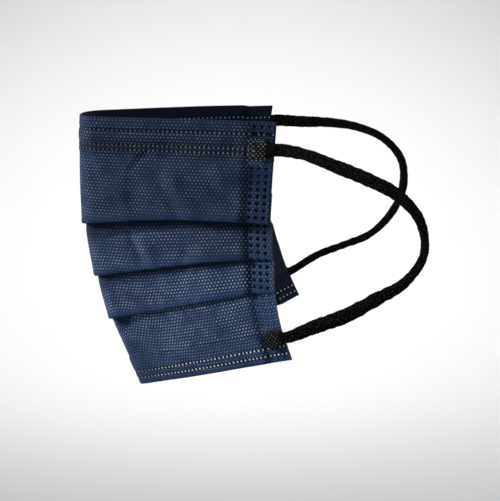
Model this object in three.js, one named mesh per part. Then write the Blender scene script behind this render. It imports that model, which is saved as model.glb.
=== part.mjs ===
// A pleated surgical face mask in the shape it takes when it is worn, in millimetres.
// The wearer faces -Y, +Z is up and +X is the wearer's left.
// The origin is the middle of the top edge, where the mask rests on the bridge of the nose.
import * as THREE from 'three';

// Cloth
const WALL = 1; // the layers of nonwoven cloth together
const PIECE_GAP = 0.3; // between two pieces that touch
const PLY_GAP = 0.3; // between the plies of a pleat
const PLY_PITCH = WALL + PLY_GAP;
const OVERLAP_SIDE = 11.7; // how far a pleat reaches up behind its fold, at the side edges
const OVERLAP_CENTRE = 7.7; // the same in the middle, where the pleats are drawn out

// Worn shape
const REACH = 82; // from the bridge of the nose back to the side edges
const CENTRE_HEIGHT = 118; // from the top edge down to the lower edge, in the middle
const SIDE_HEIGHT = 91; // from the top edge down to the lower edge, at the side edges
const HALF_SPREAD = 49; // from the middle plane out to a side edge, at the lower edge
const BRIDGE_RADIUS = 10; // the round of the top edge over the nose, seen from above
const CHIN_RADIUS = 9; // the round of the lower edge under the chin, seen from above

// Hems
const TOP_HEM = 16; // depth of the cloth turned in along the top edge
const BOTTOM_HEM = 11; // the same along the lower edge
const HEM_ROUND = 0.35; // the softened edges of the turned cloth

// Ear loops
const LOOP_WIDTH = 4.6; // flat oval elastic
const LOOP_THICKNESS = 2.8;
const LOOP_LEAD = 3; // how far the elastic runs on straight from a pad
const PAD_THICKNESS = 1.2; // the ends of the elastic, pressed flat on the cloth
const PAD_ROUND = 0.5; // the softened rim of a pad
const PAD_OVERHANG = 0.9; // how far a pad reaches past the side edge
const TOP_PAD_LENGTH = 9.3;
const TOP_PAD_WIDTH = 6;
const BOTTOM_PAD_LENGTH = 10;
const BOTTOM_PAD_WIDTH = 7.4;
const LEFT_PAD_DROP = 10.6; // from the top edge down to the middle of the left upper pad
const RIGHT_PAD_DROP = 7.2; // the same on the right, welded a little higher
const LEFT_PAD_RISE = 9.3; // from the lower edge up to the middle of the left lower pad
const RIGHT_PAD_RISE = 11.6; // the same on the right

// Facets
const STATIONS_PER_HALF = 19;
const STATION_CROWDING = 1.5; // above 1 the stations lie closer together over the nose
const TURN_STEPS = 3; // round the turn of a fold
const LOOP_SIDES = 8;
const LOOP_STEPS = 40;
const NUDGE = 0.002; // share of a half over which the way across the cloth is measured

// The five lines that run across the mask. A back is a share of REACH, an out of HALF_SPREAD, and a
// drop of CENTRE_HEIGHT in the middle and of SIDE_HEIGHT at the side. skew is how much further
// back the right side edge lies than the left, round is 0 for BRIDGE_RADIUS and 1 for CHIN_RADIUS,
// and ease is how soon a line climbs on its way from the middle to the side.
const TOP_LINE = {
  centreBack: 0, centreDrop: 0, round: 0, ease: 1.3,
  sideOut: 0.51, sideBack: 1, sideDrop: -0.008, skew: -0.04,
};
const FIRST_FOLD = {
  centreBack: -0.008, centreDrop: 0.394, round: 0, ease: 2.2,
  sideOut: 0.69, sideBack: 0.97, sideDrop: 0.42, skew: -0.08,
};
const SECOND_FOLD = {
  centreBack: 0.049, centreDrop: 0.59, round: 0.3, ease: 1.25,
  sideOut: 0.78, sideBack: 0.98, sideDrop: 0.571, skew: -0.04,
};
const THIRD_FOLD = {
  centreBack: 0.121, centreDrop: 0.753, round: 0.6, ease: 1.05,
  sideOut: 0.86, sideBack: 0.99, sideDrop: 0.704, skew: -0.01,
};
const BOTTOM_LINE = {
  centreBack: 0.285, centreDrop: 1, round: 1, ease: 1,
  sideOut: 1, sideBack: 1.082, sideDrop: 0.99, skew: 0.015,
};

// The four panels between those lines. A bow is how far a panel swells out half way down, as a
// share of WALL, and steps is how many facets it has from its upper line to its lower one.
const PANELS = [
  { from: TOP_LINE, to: FIRST_FOLD, centreBow: 0.7, sideBow: 0, steps: 5 },
  { from: FIRST_FOLD, to: SECOND_FOLD, centreBow: 0.3, sideBow: 0.3, steps: 3 },
  { from: SECOND_FOLD, to: THIRD_FOLD, centreBow: 0.3, sideBow: 0.3, steps: 3 },
  { from: THIRD_FOLD, to: BOTTOM_LINE, centreBow: 0, sideBow: 1.7, steps: 4 },
];
const [TOP_PANEL, , , BOTTOM_PANEL] = PANELS;

// The outline of a pressed end of elastic, from its tip to where the elastic leaves it, in shares
// of the pad's length and width.
const PAD_OUTLINE = [
  { along: 0, half: 0.34 },
  { along: 0.12, half: 0.47 },
  { along: 0.3, half: 0.5 },
  { along: 0.7, half: 0.48 },
  { along: 1, half: 0.36 },
];

// Where the middle of each elastic runs on its way from the upper pad to the lower one.
const LEFT_ROUTE = [
  [35, 94, -10.4], [40.5, 106.4, -14], [45.5, 118.4, -17.8], [49.5, 129.6, -23], [52.5, 138, -32],
  [54.4, 139.8, -45], [55, 132.7, -56], [54.3, 122, -63], [53, 110.7, -70], [50.8, 98.5, -75.5],
];
const RIGHT_ROUTE = [
  [-35.2, 92, -8.2], [-41, 104.4, -8.8], [-46.3, 116.8, -11.7], [-50.5, 128.5, -17.5], [-53.4, 136.8, -27.8],
  [-55, 137.6, -41.7], [-55.2, 132.2, -53.6], [-54.2, 123, -62.6], [-52, 111, -67.3], [-49.2, 99.2, -71.8],
];

const lerp = THREE.MathUtils.lerp;
const blend = (a, b, t) => new THREE.Vector3().lerpVectors(a, b, t);
const shift = (point, direction, distance) => point.clone().addScaledVector(direction, distance);

// A point on one of the lines across the mask. share is -1 at the right side edge, 0 in the middle
// and 1 at the left side edge, and is measured along the cloth.
function linePoint(line, share) {
  const way = Math.abs(share);
  const radius = lerp(BRIDGE_RADIUS, CHIN_RADIUS, line.round);
  const sideOut = line.sideOut * HALF_SPREAD;
  const depth = (line.sideBack + (share < 0 ? line.skew : 0) - line.centreBack) * REACH;
  // From above a line is an arc round the middle and then its straight tangent to the side edge.
  const reach = Math.hypot(sideOut, depth - radius);
  const slant = Math.atan2(sideOut, depth - radius) - Math.asin(radius / reach);
  const turn = Math.PI / 2 - slant;
  const arc = radius * turn;
  const straight = Math.sqrt(reach ** 2 - radius ** 2);
  const run = way * (arc + straight);
  const angle = Math.min(run / radius, turn);
  const past = Math.max(0, run - arc);
  const out = radius * Math.sin(angle) + past * Math.sin(slant);
  const back = radius * (1 - Math.cos(angle)) + past * Math.cos(slant);
  const climb = 1 - Math.max(0, 1 - way) ** line.ease;
  const drop = lerp(line.centreDrop * CENTRE_HEIGHT, line.sideDrop * SIDE_HEIGHT, climb);
  return new THREE.Vector3(Math.sign(share) * out, line.centreBack * REACH + back, -drop);
}

// One panel in one station: where its outer face starts, the way down it and the way out of it.
function panelFrame(panel, share) {
  const above = PANELS[PANELS.indexOf(panel) - 1];
  const end = linePoint(panel.to, share);
  let start = linePoint(panel.from, share);
  if (above) start = shift(start, panelFrame(above, share).out, -2 * PLY_PITCH);
  const down = end.clone().sub(start);
  const length = down.length();
  down.normalize();
  const middle = (s) => blend(linePoint(panel.from, s), linePoint(panel.to, s), 0.5);
  const along = middle(share + NUDGE).sub(middle(share - NUDGE)).normalize();
  const out = new THREE.Vector3().crossVectors(down, along).normalize();
  const bow = lerp(panel.centreBow, panel.sideBow, Math.abs(share)) * WALL;
  return { start, down, out, length, bow };
}

// A point in a panel: run is the distance down from its upper line, depth the distance in from its
// outer face.
function panelPoint(frame, run, depth) {
  const t = run / frame.length;
  const point = shift(frame.start, frame.down, run);
  return point.addScaledVector(frame.out, 4 * t * (1 - t) * frame.bow - depth);
}

// The turn of the cloth at a fold: points round a centre, each with the way out of the outer face.
function turnPoints(centre, from, through, radius, facing) {
  const points = [];
  for (let i = 0; i <= TURN_STEPS; i += 1) {
    const angle = (Math.PI * i) / TURN_STEPS;
    const way = from.clone().multiplyScalar(Math.cos(angle)).addScaledVector(through, Math.sin(angle));
    points.push({ at: shift(centre, way, radius), out: way.multiplyScalar(facing) });
  }
  return points;
}

// The middle of the cloth in one station, from the top hem through the three pleats to the lower
// hem, as points that each know the way out of the outer face.
function clothPath(share) {
  const radius = PLY_PITCH / 2;
  const overlap = lerp(OVERLAP_CENTRE, OVERLAP_SIDE, Math.abs(share));
  const path = [];
  for (const panel of PANELS) {
    const frame = panelFrame(panel, share);
    const isLast = panel === BOTTOM_PANEL;
    const first = panel === TOP_PANEL ? WALL + PIECE_GAP : 0;
    const last = frame.length - (isLast ? WALL + PIECE_GAP : radius + WALL / 2);
    for (let i = 0; i <= panel.steps; i += 1) {
      if (i === panel.steps && !isLast) break;
      const run = lerp(first, last, i / panel.steps);
      path.push({ at: panelPoint(frame, run, WALL / 2), out: frame.out });
    }
    if (isLast) break;
    const { down, out } = frame;
    const inward = out.clone().negate();
    const up = down.clone().negate();
    const lower = shift(shift(frame.start, down, last), out, -WALL / 2 - radius);
    const upper = shift(shift(lower, up, overlap), inward, PLY_PITCH);
    path.push(...turnPoints(lower, out, down, radius, 1));
    path.push(...turnPoints(upper, out, up, radius, -1));
  }
  return path;
}

// Stations across the mask, closer together over the nose.
function stationShares() {
  const shares = [];
  for (let i = -STATIONS_PER_HALF; i <= STATIONS_PER_HALF; i += 1) {
    const t = i / STATIONS_PER_HALF;
    shares.push(Math.sign(t) * Math.abs(t) ** STATION_CROWDING);
  }
  return shares;
}

// Two flat triangulated ends close a skin stretched over rings of equally many points. The rings
// run anticlockwise, seen from the last one.
function loft(rings) {
  const count = rings[0].length;
  const positions = rings.flat().flatMap((point) => point.toArray());
  const indices = [];
  for (let k = 0; k < rings.length - 1; k += 1) {
    for (let i = 0; i < count; i += 1) {
      const a = k * count + i;
      const b = k * count + ((i + 1) % count);
      indices.push(a, b, b + count, a, b + count, a + count);
    }
  }
  const last = (rings.length - 1) * count;
  for (const [a, b, c] of capTriangles(rings[0])) indices.push(c, b, a);
  for (const [a, b, c] of capTriangles(rings.at(-1))) indices.push(last + a, last + b, last + c);
  const geometry = new THREE.BufferGeometry();
  geometry.setAttribute('position', new THREE.Float32BufferAttribute(positions, 3));
  geometry.setIndex(indices);
  geometry.computeVertexNormals();
  return geometry;
}

// The triangles of a flat end, found in the plane that its ring lies nearest to.
function capTriangles(ring) {
  const normal = new THREE.Vector3();
  ring.forEach((point, i) => {
    normal.add(new THREE.Vector3().crossVectors(point, ring[(i + 1) % ring.length]));
  });
  normal.normalize();
  const u = new THREE.Vector3().crossVectors(new THREE.Vector3(0, 0, 1), normal).normalize();
  const v = new THREE.Vector3().crossVectors(normal, u);
  const flat = ring.map((point) => new THREE.Vector2(point.dot(u), point.dot(v)));
  return THREE.ShapeUtils.triangulateShape(flat, []);
}

function bodyGeometry() {
  return loft(stationShares().map((share) => {
    const path = clothPath(share);
    const outer = path.map(({ at, out }) => shift(at, out, WALL / 2));
    const inner = path.map(({ at, out }) => shift(at, out, -WALL / 2));
    return [...outer, ...inner.reverse()];
  }));
}

// The cloth turned in over an edge: a cap over the edge of the body and a leaf on its inner face.
// runs are measured from the edge.
function hemGeometry(panel, hem) {
  const inner = WALL + PIECE_GAP;
  const back = inner + WALL;
  const section = [
    { depth: 0, run: WALL },
    { depth: inner, run: WALL },
    { depth: inner, run: hem / 2 },
    { depth: inner, run: hem },
    { depth: back, run: hem },
    { depth: back, run: hem / 2 },
    { depth: back, run: HEM_ROUND },
    { depth: back - HEM_ROUND, run: 0 },
    { depth: HEM_ROUND, run: 0 },
    { depth: 0, run: HEM_ROUND },
  ];
  return loft(stationShares().map((share) => {
    const frame = panelFrame(panel, share);
    if (panel === TOP_PANEL) return section.map(({ depth, run }) => panelPoint(frame, run, depth));
    return section.map(({ depth, run }) => panelPoint(frame, frame.length - run, depth)).reverse();
  }));
}

// Where a pressed end of elastic sits on the outer face: the point under its middle, the way along
// it to the side edge, the way across it and the way out of the cloth.
function padSeat(pad, side) {
  const edge = linePoint(pad.panel.to, side);
  const perShare = edge.distanceTo(linePoint(pad.panel.to, side * (1 - NUDGE))) / NUDGE;
  const share = side * (1 - (pad.length / 2 - PAD_OVERHANG) / perShare);
  const seatAt = (s) => {
    const frame = panelFrame(pad.panel, s);
    return panelPoint(frame, pad.panel === TOP_PANEL ? pad.drop : frame.length - pad.rise, 0);
  };
  const under = seatAt(share);
  const { out } = panelFrame(pad.panel, share);
  const along = seatAt(side).sub(under);
  along.addScaledVector(out, -along.dot(out)).normalize();
  const across = new THREE.Vector3().crossVectors(out, along);
  return { under, along, across, out };
}

// A flat end of elastic, lying on the outer face and reaching a little past the side edge.
function padMesh(pad, side) {
  const edge = (hand) => PAD_OUTLINE.map(({ along, half }) => (
    new THREE.Vector2((along - 0.5) * pad.length, hand * half * pad.width)
  ));
  const outline = new THREE.Shape([...edge(-1), ...edge(1).reverse()]);
  const geometry = new THREE.ExtrudeGeometry(outline, {
    depth: PAD_THICKNESS - PAD_ROUND,
    bevelThickness: PAD_ROUND / 2,
    bevelSize: PAD_ROUND / 2,
    bevelOffset: -PAD_ROUND / 2,
    bevelSegments: 1,
  });
  const { under, along, across, out } = padSeat(pad, side);
  const mesh = new THREE.Mesh(geometry, elasticMaterial);
  mesh.quaternion.setFromRotationMatrix(new THREE.Matrix4().makeBasis(along, across, out));
  mesh.position.copy(shift(under, out, PIECE_GAP + PAD_ROUND / 2));
  return mesh;
}

// Where the middle of the elastic is, at a distance past the end of its pad.
function beyondPad(pad, side, distance) {
  const { under, along, out } = padSeat(pad, side);
  return shift(shift(under, along, pad.length / 2 + distance), out, PIECE_GAP + PAD_THICKNESS / 2);
}

// One elastic, from its upper pad round to its lower one.
function loopGeometry(pads, side, route) {
  const [upper, lower] = pads.map((pad) => [
    beyondPad(pad, side, PIECE_GAP),
    beyondPad(pad, side, LOOP_LEAD),
  ]);
  const middle = route.map((point) => new THREE.Vector3(...point));
  const path = new THREE.CatmullRomCurve3([...upper, ...middle, ...lower.reverse()]);
  const outline = [];
  for (let i = 0; i < LOOP_SIDES; i += 1) {
    const angle = (2 * Math.PI * (i + 0.5)) / LOOP_SIDES;
    const x = (LOOP_WIDTH / 2) * Math.cos(angle);
    const y = (LOOP_THICKNESS / 2) * Math.sin(angle);
    outline.push(new THREE.Vector2(x, y));
  }
  return new THREE.ExtrudeGeometry(new THREE.Shape(outline), { steps: LOOP_STEPS, extrudePath: path });
}

const clothMaterial = new THREE.MeshStandardMaterial({ color: 0x1e2f50, roughness: 0.85, metalness: 0 });
const elasticMaterial = new THREE.MeshStandardMaterial({ color: 0x141312, roughness: 0.9, metalness: 0 });

const mask = new THREE.Group();

function addPiece(name, mesh) {
  mesh.name = name;
  mask.add(mesh);
}

addPiece('pleated_body', new THREE.Mesh(bodyGeometry(), clothMaterial));
addPiece('top_hem', new THREE.Mesh(hemGeometry(TOP_PANEL, TOP_HEM), clothMaterial));
addPiece('bottom_hem', new THREE.Mesh(hemGeometry(BOTTOM_PANEL, BOTTOM_HEM), clothMaterial));

const SIDES = [
  { name: 'left', side: 1, drop: LEFT_PAD_DROP, rise: LEFT_PAD_RISE, route: LEFT_ROUTE },
  { name: 'right', side: -1, drop: RIGHT_PAD_DROP, rise: RIGHT_PAD_RISE, route: RIGHT_ROUTE },
];
for (const { name, side, drop, rise, route } of SIDES) {
  const upper = { panel: TOP_PANEL, length: TOP_PAD_LENGTH, width: TOP_PAD_WIDTH, drop };
  const lower = { panel: BOTTOM_PANEL, length: BOTTOM_PAD_LENGTH, width: BOTTOM_PAD_WIDTH, rise };
  addPiece(`upper_loop_pad_${name}`, padMesh(upper, side));
  addPiece(`lower_loop_pad_${name}`, padMesh(lower, side));
  addPiece(`ear_loop_${name}`, new THREE.Mesh(loopGeometry([upper, lower], side, route), elasticMaterial));
}

export default mask;
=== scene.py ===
"""Dresses the pleated face mask: folded cloth, turned-in hems, pressed loop ends and knitted ear loops."""

import logging
import math
from bisect import bisect_right
from collections.abc import Callable
from dataclasses import dataclass, field
from enum import Enum
from itertools import accumulate

import bmesh
import bpy
from mathutils import Matrix, Vector, noise


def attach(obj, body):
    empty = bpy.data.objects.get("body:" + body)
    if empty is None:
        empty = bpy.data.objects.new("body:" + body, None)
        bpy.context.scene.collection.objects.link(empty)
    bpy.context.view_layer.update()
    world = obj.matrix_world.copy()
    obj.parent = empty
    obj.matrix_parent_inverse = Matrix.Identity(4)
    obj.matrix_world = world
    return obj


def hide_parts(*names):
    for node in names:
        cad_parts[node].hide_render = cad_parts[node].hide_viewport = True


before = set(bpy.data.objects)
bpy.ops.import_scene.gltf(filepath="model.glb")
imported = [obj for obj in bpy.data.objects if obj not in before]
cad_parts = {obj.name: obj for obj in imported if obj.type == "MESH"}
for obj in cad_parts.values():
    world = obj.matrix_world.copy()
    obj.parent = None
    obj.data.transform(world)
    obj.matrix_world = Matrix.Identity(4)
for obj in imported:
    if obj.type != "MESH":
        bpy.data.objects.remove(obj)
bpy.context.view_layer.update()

log = logging.getLogger("mask")

Colour = tuple[float, float, float, float]
Triple = tuple[float, float, float]
Pairs = tuple[tuple[float, float], ...]
Material = bpy.types.Material
Mesh = bmesh.types.BMesh
Node = bpy.types.Node
Piece = bpy.types.Object
Socket = bpy.types.NodeSocket
Tree = bpy.types.NodeTree

MM = 0.001
UV_SPAN = 200 * MM  # what one unit of a cloth's UV maps covers
PAD_UV_SPAN = 10 * MM  # what one unit of a pad's UV map covers
ZONE_SPAN = 20 * MM  # how far from a fold the zone map counts
PAD_NET = {"Along": 1.75, "Across": 0.95}  # the pitches of the net of weld points on a pad
BLACK: Colour = (0, 0, 0, 1)

REACH = 82 * MM
CENTRE_HEIGHT = 118 * MM
SIDE_HEIGHT = 91 * MM
HALF_SPREAD = 49 * MM
BRIDGE_RADIUS = 10 * MM
CHIN_RADIUS = 9 * MM
HALF_WIDTH = 88.5 * MM
NUDGE = 0.002


def mix(a: float, b: float, t: float) -> float:
    """Return the value a share t of the way from a to b."""
    return a + (b - a) * t


def ease(low: float, high: float, value: float) -> float:
    """Return 0 below low and 1 above high, with a smooth change between them."""
    t = min(1.0, max(0.0, (value - low) / (high - low)))
    return t * t * (3 - 2 * t)


def hump(distance: float, width: float) -> float:
    """Return 1 at no distance, falling softly to nothing over about twice the width."""
    return math.exp(-((distance / width) ** 2))


def between(stops: Pairs, place: float) -> float:
    """Return the value at a place, drawn straight between stops of (place, value)."""
    for (low, a), (high, b) in zip(stops, stops[1:]):
        if place <= high:
            return mix(a, b, (place - low) / (high - low))
    return stops[-1][1]


@dataclass(frozen=True)
class FoldLine:
    """A line across the cloth: the top edge, one of the three folds or the bottom edge."""

    centre_back: float
    centre_drop: float
    rounding: float
    climb_ease: float
    side_out: float
    side_back: float
    side_drop: float
    skew: float

    def point(self, share: float) -> Vector:
        """Find a point on the line.

        Args:
            share: -1 at the right side edge, 0 in the middle, 1 at the left side edge, along the cloth.

        Returns:
            The point in metres.
        """
        way = abs(share)
        radius = mix(BRIDGE_RADIUS, CHIN_RADIUS, self.rounding)
        side_out = self.side_out * HALF_SPREAD
        side_back = self.side_back + (self.skew if share < 0 else 0)
        depth = (side_back - self.centre_back) * REACH
        reach = math.hypot(side_out, depth - radius)
        slant = math.atan2(side_out, depth - radius) - math.asin(radius / reach)
        turn = math.pi / 2 - slant
        run = way * (radius * turn + math.sqrt(reach**2 - radius**2))
        angle = min(run / radius, turn)
        past = max(0.0, run - radius * turn)
        out = radius * math.sin(angle) + past * math.sin(slant)
        back = radius * (1 - math.cos(angle)) + past * math.cos(slant)
        climb = 1 - max(0.0, 1 - way) ** self.climb_ease
        drop = mix(self.centre_drop * CENTRE_HEIGHT, self.side_drop * SIDE_HEIGHT, climb)
        return Vector((math.copysign(out, share), self.centre_back * REACH + back, -drop))


TOP_LINE = FoldLine(0, -0.003, 0, 1.3, 0.51, 1, -0.014, -0.04)
FIRST_FOLD = FoldLine(-0.008, 0.394, 0, 2.2, 0.69, 0.97, 0.426, -0.08)
SECOND_FOLD = FoldLine(0.049, 0.59, 0.3, 1.25, 0.78, 0.98, 0.571, -0.04)
THIRD_FOLD = FoldLine(0.121, 0.753, 0.6, 1.05, 0.86, 0.99, 0.704, -0.01)
BOTTOM_LINE = FoldLine(0.285, 1, 1, 1, 1, 1.082, 0.99, 0.015)


@dataclass(frozen=True)
class PanelPlan:
    """One visible panel of cloth between two lines, and how far it swells out, in metres."""

    upper: FoldLine
    lower: FoldLine
    centre_bow: float
    side_bow: float

    def middle(self, share: float) -> Vector:
        """Return the point half way between the two lines."""
        return (self.upper.point(share) + self.lower.point(share)) / 2


PANELS = (
    PanelPlan(TOP_LINE, FIRST_FOLD, 0.7 * MM, 0),
    PanelPlan(FIRST_FOLD, SECOND_FOLD, 0.3 * MM, 0.3 * MM),
    PanelPlan(SECOND_FOLD, THIRD_FOLD, 0.3 * MM, 0.3 * MM),
    PanelPlan(THIRD_FOLD, BOTTOM_LINE, 0, 1.7 * MM),
)
TOP_PANEL = 0
BOTTOM_PANEL = 3


@dataclass(frozen=True)
class PanelFrame:
    """A panel in one station: where its outer face starts, the way down it and the way out of it."""

    start: Vector
    down: Vector
    out: Vector
    length: float
    bow: float

    def place(self, run: float, depth: float) -> Vector:
        """Return the point at a distance down the panel and a depth in from its outer face."""
        t = run / self.length
        return self.start + self.down * run + self.out * (4 * t * (1 - t) * self.bow - depth)


class Ply(Enum):
    """The kinds of stretch that the folded cloth passes through, from its top edge to its bottom edge."""

    FACE = "face"
    LOWER_TURN = "lower turn"
    UNDERLAY = "underlay"
    UPPER_TURN = "upper turn"
    HIDDEN = "hidden"


@dataclass(frozen=True)
class Stretch:
    """A stretch of cloth between two rows of the flat cut, on one panel."""

    ply: Ply
    panel: int
    rows: int
    part: int = 0

    @property
    def framed_by(self) -> int:
        """Return the panel whose frame it lies in: hidden cloth lies behind the panel above its own."""
        return self.panel - 1 if self.ply is Ply.HIDDEN else self.panel


FACE_ROWS = ((16, 22, 6), (20, 6), (16, 6), (18, 12))


def stretches_down() -> list[Stretch]:
    """Return the stretches of the flat cut, from its top edge to its bottom edge."""
    made = []
    for panel, parts in enumerate(FACE_ROWS):
        if panel:
            made += [Stretch(Ply.LOWER_TURN, panel - 1, 7), Stretch(Ply.UNDERLAY, panel - 1, 5)]
            made += [Stretch(Ply.UPPER_TURN, panel - 1, 3), Stretch(Ply.HIDDEN, panel, 5)]
        made += [Stretch(Ply.FACE, panel, rows, part) for part, rows in enumerate(parts)]
    return made


@dataclass
class Spot:
    """Where one point of the flat cloth goes when it is folded."""

    at: Vector
    facing: Vector
    down_cloth: float
    down_folded: float
    across: float
    ply: Ply
    panel: int
    above_fold: float = ZONE_SPAN
    below_fold: float = 0.0


@dataclass
class WeldPlan:
    """Where the cloth is welded and pressed, in metres from its edges."""

    top_rows: tuple[float, ...] = (5.2 * MM, 11.2 * MM, 13.2 * MM)
    bottom_rows: tuple[float, ...] = (6 * MM, 3 * MM)
    top_pitch: float = 1.97 * MM
    bottom_pitch: float = 2.05 * MM
    dot_radius: float = 0.5 * MM
    dot_depth: float = 0.24 * MM
    first_column: float = 2.5 * MM
    column_pitch: float = 3.1 * MM
    pit_pitch: float = 2.79 * MM
    pit_start: float = 0.75 * MM
    pit_radius: float = 0.66 * MM
    pit_depth: float = 0.46 * MM
    band: float = 10.2 * MM
    top_hem: float = 14.6 * MM
    bottom_hem: float = 12.7 * MM
    span: float = CENTRE_HEIGHT

    def __post_init__(self) -> None:
        """Keep the lift of plain cloth in the middle, which is taken off everywhere."""
        self.plain_lift = self.relief(0, 30 * MM)

    def dot(self, across: float, off_row: float, pitch: float) -> float:
        """Return how deep, from 0 to 1, a row of weld points is at a place near it."""
        along = (across / pitch) % 1 - 0.5
        reach = math.hypot(along * pitch, off_row)
        return 1 - ease(self.dot_radius * 0.45, self.dot_radius * 1.5, reach)

    def pit_and_shade(self, from_side: float, down: float) -> float:
        """Return how deep, from 0 to 1, the pits of the side band are at a place."""
        if not 1.1 * MM < from_side < self.band:
            return 0.0
        column = (from_side - self.first_column) / self.column_pitch
        off_column = (column - round(column)) * self.column_pitch
        off_row = (((down - self.pit_start) / self.pit_pitch) % 1 - 0.5) * self.pit_pitch
        return 1 - ease(self.pit_radius * 0.5, self.pit_radius * 1.5, math.hypot(off_column, off_row))

    def low_down(self, down: float) -> float:
        """Return 0 above the bottom panel and 1 on it, with a smooth change between them."""
        return ease(self.span - 30 * MM, self.span - 22 * MM, down)

    def relief(self, across: float, down: float) -> float:
        """Find how far the pressing lifts the cloth off its smooth form.

        Args:
            across: the distance from the middle of the cloth, negative on the right half.
            down: the distance from the top edge of the folded cloth, or the span less the distance
                from the bottom edge on the bottom panel.

        Returns:
            The lift in metres, negative for a dent.
        """
        side = HALF_WIDTH - abs(across)
        up = self.span - down
        rise = 1.0 * MM * ease(self.band - 0.4 * MM, self.band + 2.5 * MM, side)
        rise += 0.75 * MM * ease(self.band, self.band + 24 * MM, side)
        rise -= 0.4 * MM * (1 - 0.8 * self.low_down(down)) * hump(side - self.band - 0.2 * MM, 1.2 * MM)
        inside = ease(self.band - 1 * MM, self.band + 2 * MM, side)
        past_top_hem = ease(self.top_hem - 0.6 * MM, self.top_hem + 0.9 * MM, down)
        past_bottom_hem = ease(self.bottom_hem - 0.6 * MM, self.bottom_hem + 0.7 * MM, up)
        rise += 0.4 * MM * (1 - past_top_hem) * mix(0.5, 1, inside)
        rise += 0.5 * MM * (1 - past_bottom_hem) * inside
        flat_nose = mix(0.25, 1, ease(3 * MM, 12 * MM, abs(across)))
        channel = ease(5.3 * MM, 7 * MM, down) * (1 - ease(8.9 * MM, 10.6 * MM, down))
        rise += 0.42 * MM * inside * flat_nose * channel
        for row in self.top_rows:
            off = down - row
            rise -= 0.2 * MM * hump(off, 0.9 * MM) * mix(0.4, 1, inside)
            if abs(off) < 1.2 * MM:
                rise -= self.dot_depth * self.dot(across, off, self.top_pitch)
        for row in self.bottom_rows:
            off = up - row
            rise -= 0.14 * MM * hump(off, 0.8 * MM)
            if abs(off) < 1.2 * MM:
                rise -= self.dot_depth * self.dot(across, off, self.bottom_pitch)
        return rise

    def side_pits(self, across: float, down: float) -> float:
        """Return the lift of the pits in the side bands, which is never above 0."""
        fade = 1 - 0.75 * self.low_down(down)
        fade *= mix(0.3, 1, ease(15 * MM, 18 * MM, down))
        return -self.pit_depth * fade * self.pit_and_shade(HALF_WIDTH - abs(across), down)


@dataclass(frozen=True)
class Crease:
    """A short soft crease between two places, in millimetres across and down the folded cloth."""

    start: tuple[float, float]
    end: tuple[float, float]
    depth: float
    width: float

    def lift(self, across: float, down: float) -> float:
        """Return the crease's lift in metres at a place, negative for a valley."""
        x, y = across / MM - self.start[0], down / MM - self.start[1]
        along_x, along_y = self.end[0] - self.start[0], self.end[1] - self.start[1]
        length = math.hypot(along_x, along_y)
        t = (x * along_x + y * along_y) / length**2
        if not -0.35 < t < 1.35:
            return 0.0
        off = (x * along_y - y * along_x) / length
        if abs(off) > 3 * self.width:
            return 0.0
        return -self.depth * MM * hump(off, self.width) * ease(-0.35, 0.2, t) * (1 - ease(0.8, 1.35, t))


CREASES = (
    Crease((35, 14.2), (28, 22), 0.55, 1.0),
    Crease((33, 15), (25, 24), -0.35, 3.5),
    Crease((39, 1.5), (36.5, 4.2), 0.3, 0.7),
    Crease((62, 27), (74, 34), 0.6, 1.8),
    Crease((64, 20), (75, 24), -0.45, 3.0),
    Crease((9, 15), (14, 27), 0.6, 2.2),
    Crease((11, 36), (25, 31), -0.4, 2.6),
    Crease((40, 24), (50, 40), 0.5, 2.4),
    Crease((46, 22), (56, 38), -0.55, 3.0),
    Crease((24, 26), (27, 42), -0.4, 2.6),
    Crease((27, 49), (30, 61), 0.7, 1.5),
    Crease((33, 50), (36, 62), -0.45, 2.2),
    Crease((51, 54), (47, 65), 0.5, 1.6),
    Crease((58, 53), (60, 64), -0.4, 2.4),
    Crease((32, 74), (35, 85), 0.45, 1.2),
    Crease((43, 75), (49, 87), 0.5, 1.3),
    Crease((54, 74), (60, 84), -0.4, 2.2),
    Crease((64, 68), (72, 74), 0.4, 1.6),
    Crease((22, 97), (40, 104), 0.45, 1.9),
    Crease((36, 94), (52, 99), -0.45, 2.4),
    Crease((58, 90), (70, 98), 0.4, 1.8),
    Crease((-30, 16), (-24, 30), 0.55, 1.7),
    Crease((-38, 18), (-34, 34), -0.45, 2.6),
    Crease((-52, 32), (-66, 24), 0.55, 1.8),
    Crease((-58, 38), (-72, 30), -0.4, 2.6),
    Crease((-20, 56), (-34, 53), 0.6, 1.4),
    Crease((-58, 52), (-62, 63), 0.5, 1.6),
    Crease((-46, 52), (-49, 63), -0.4, 2.2),
    Crease((-40, 72), (-52, 80), 0.5, 1.5),
    Crease((-24, 74), (-30, 84), 0.4, 1.5),
    Crease((-30, 92), (-44, 99), 0.5, 1.9),
    Crease((-60, 90), (-70, 97), 0.4, 1.8),
)


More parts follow.
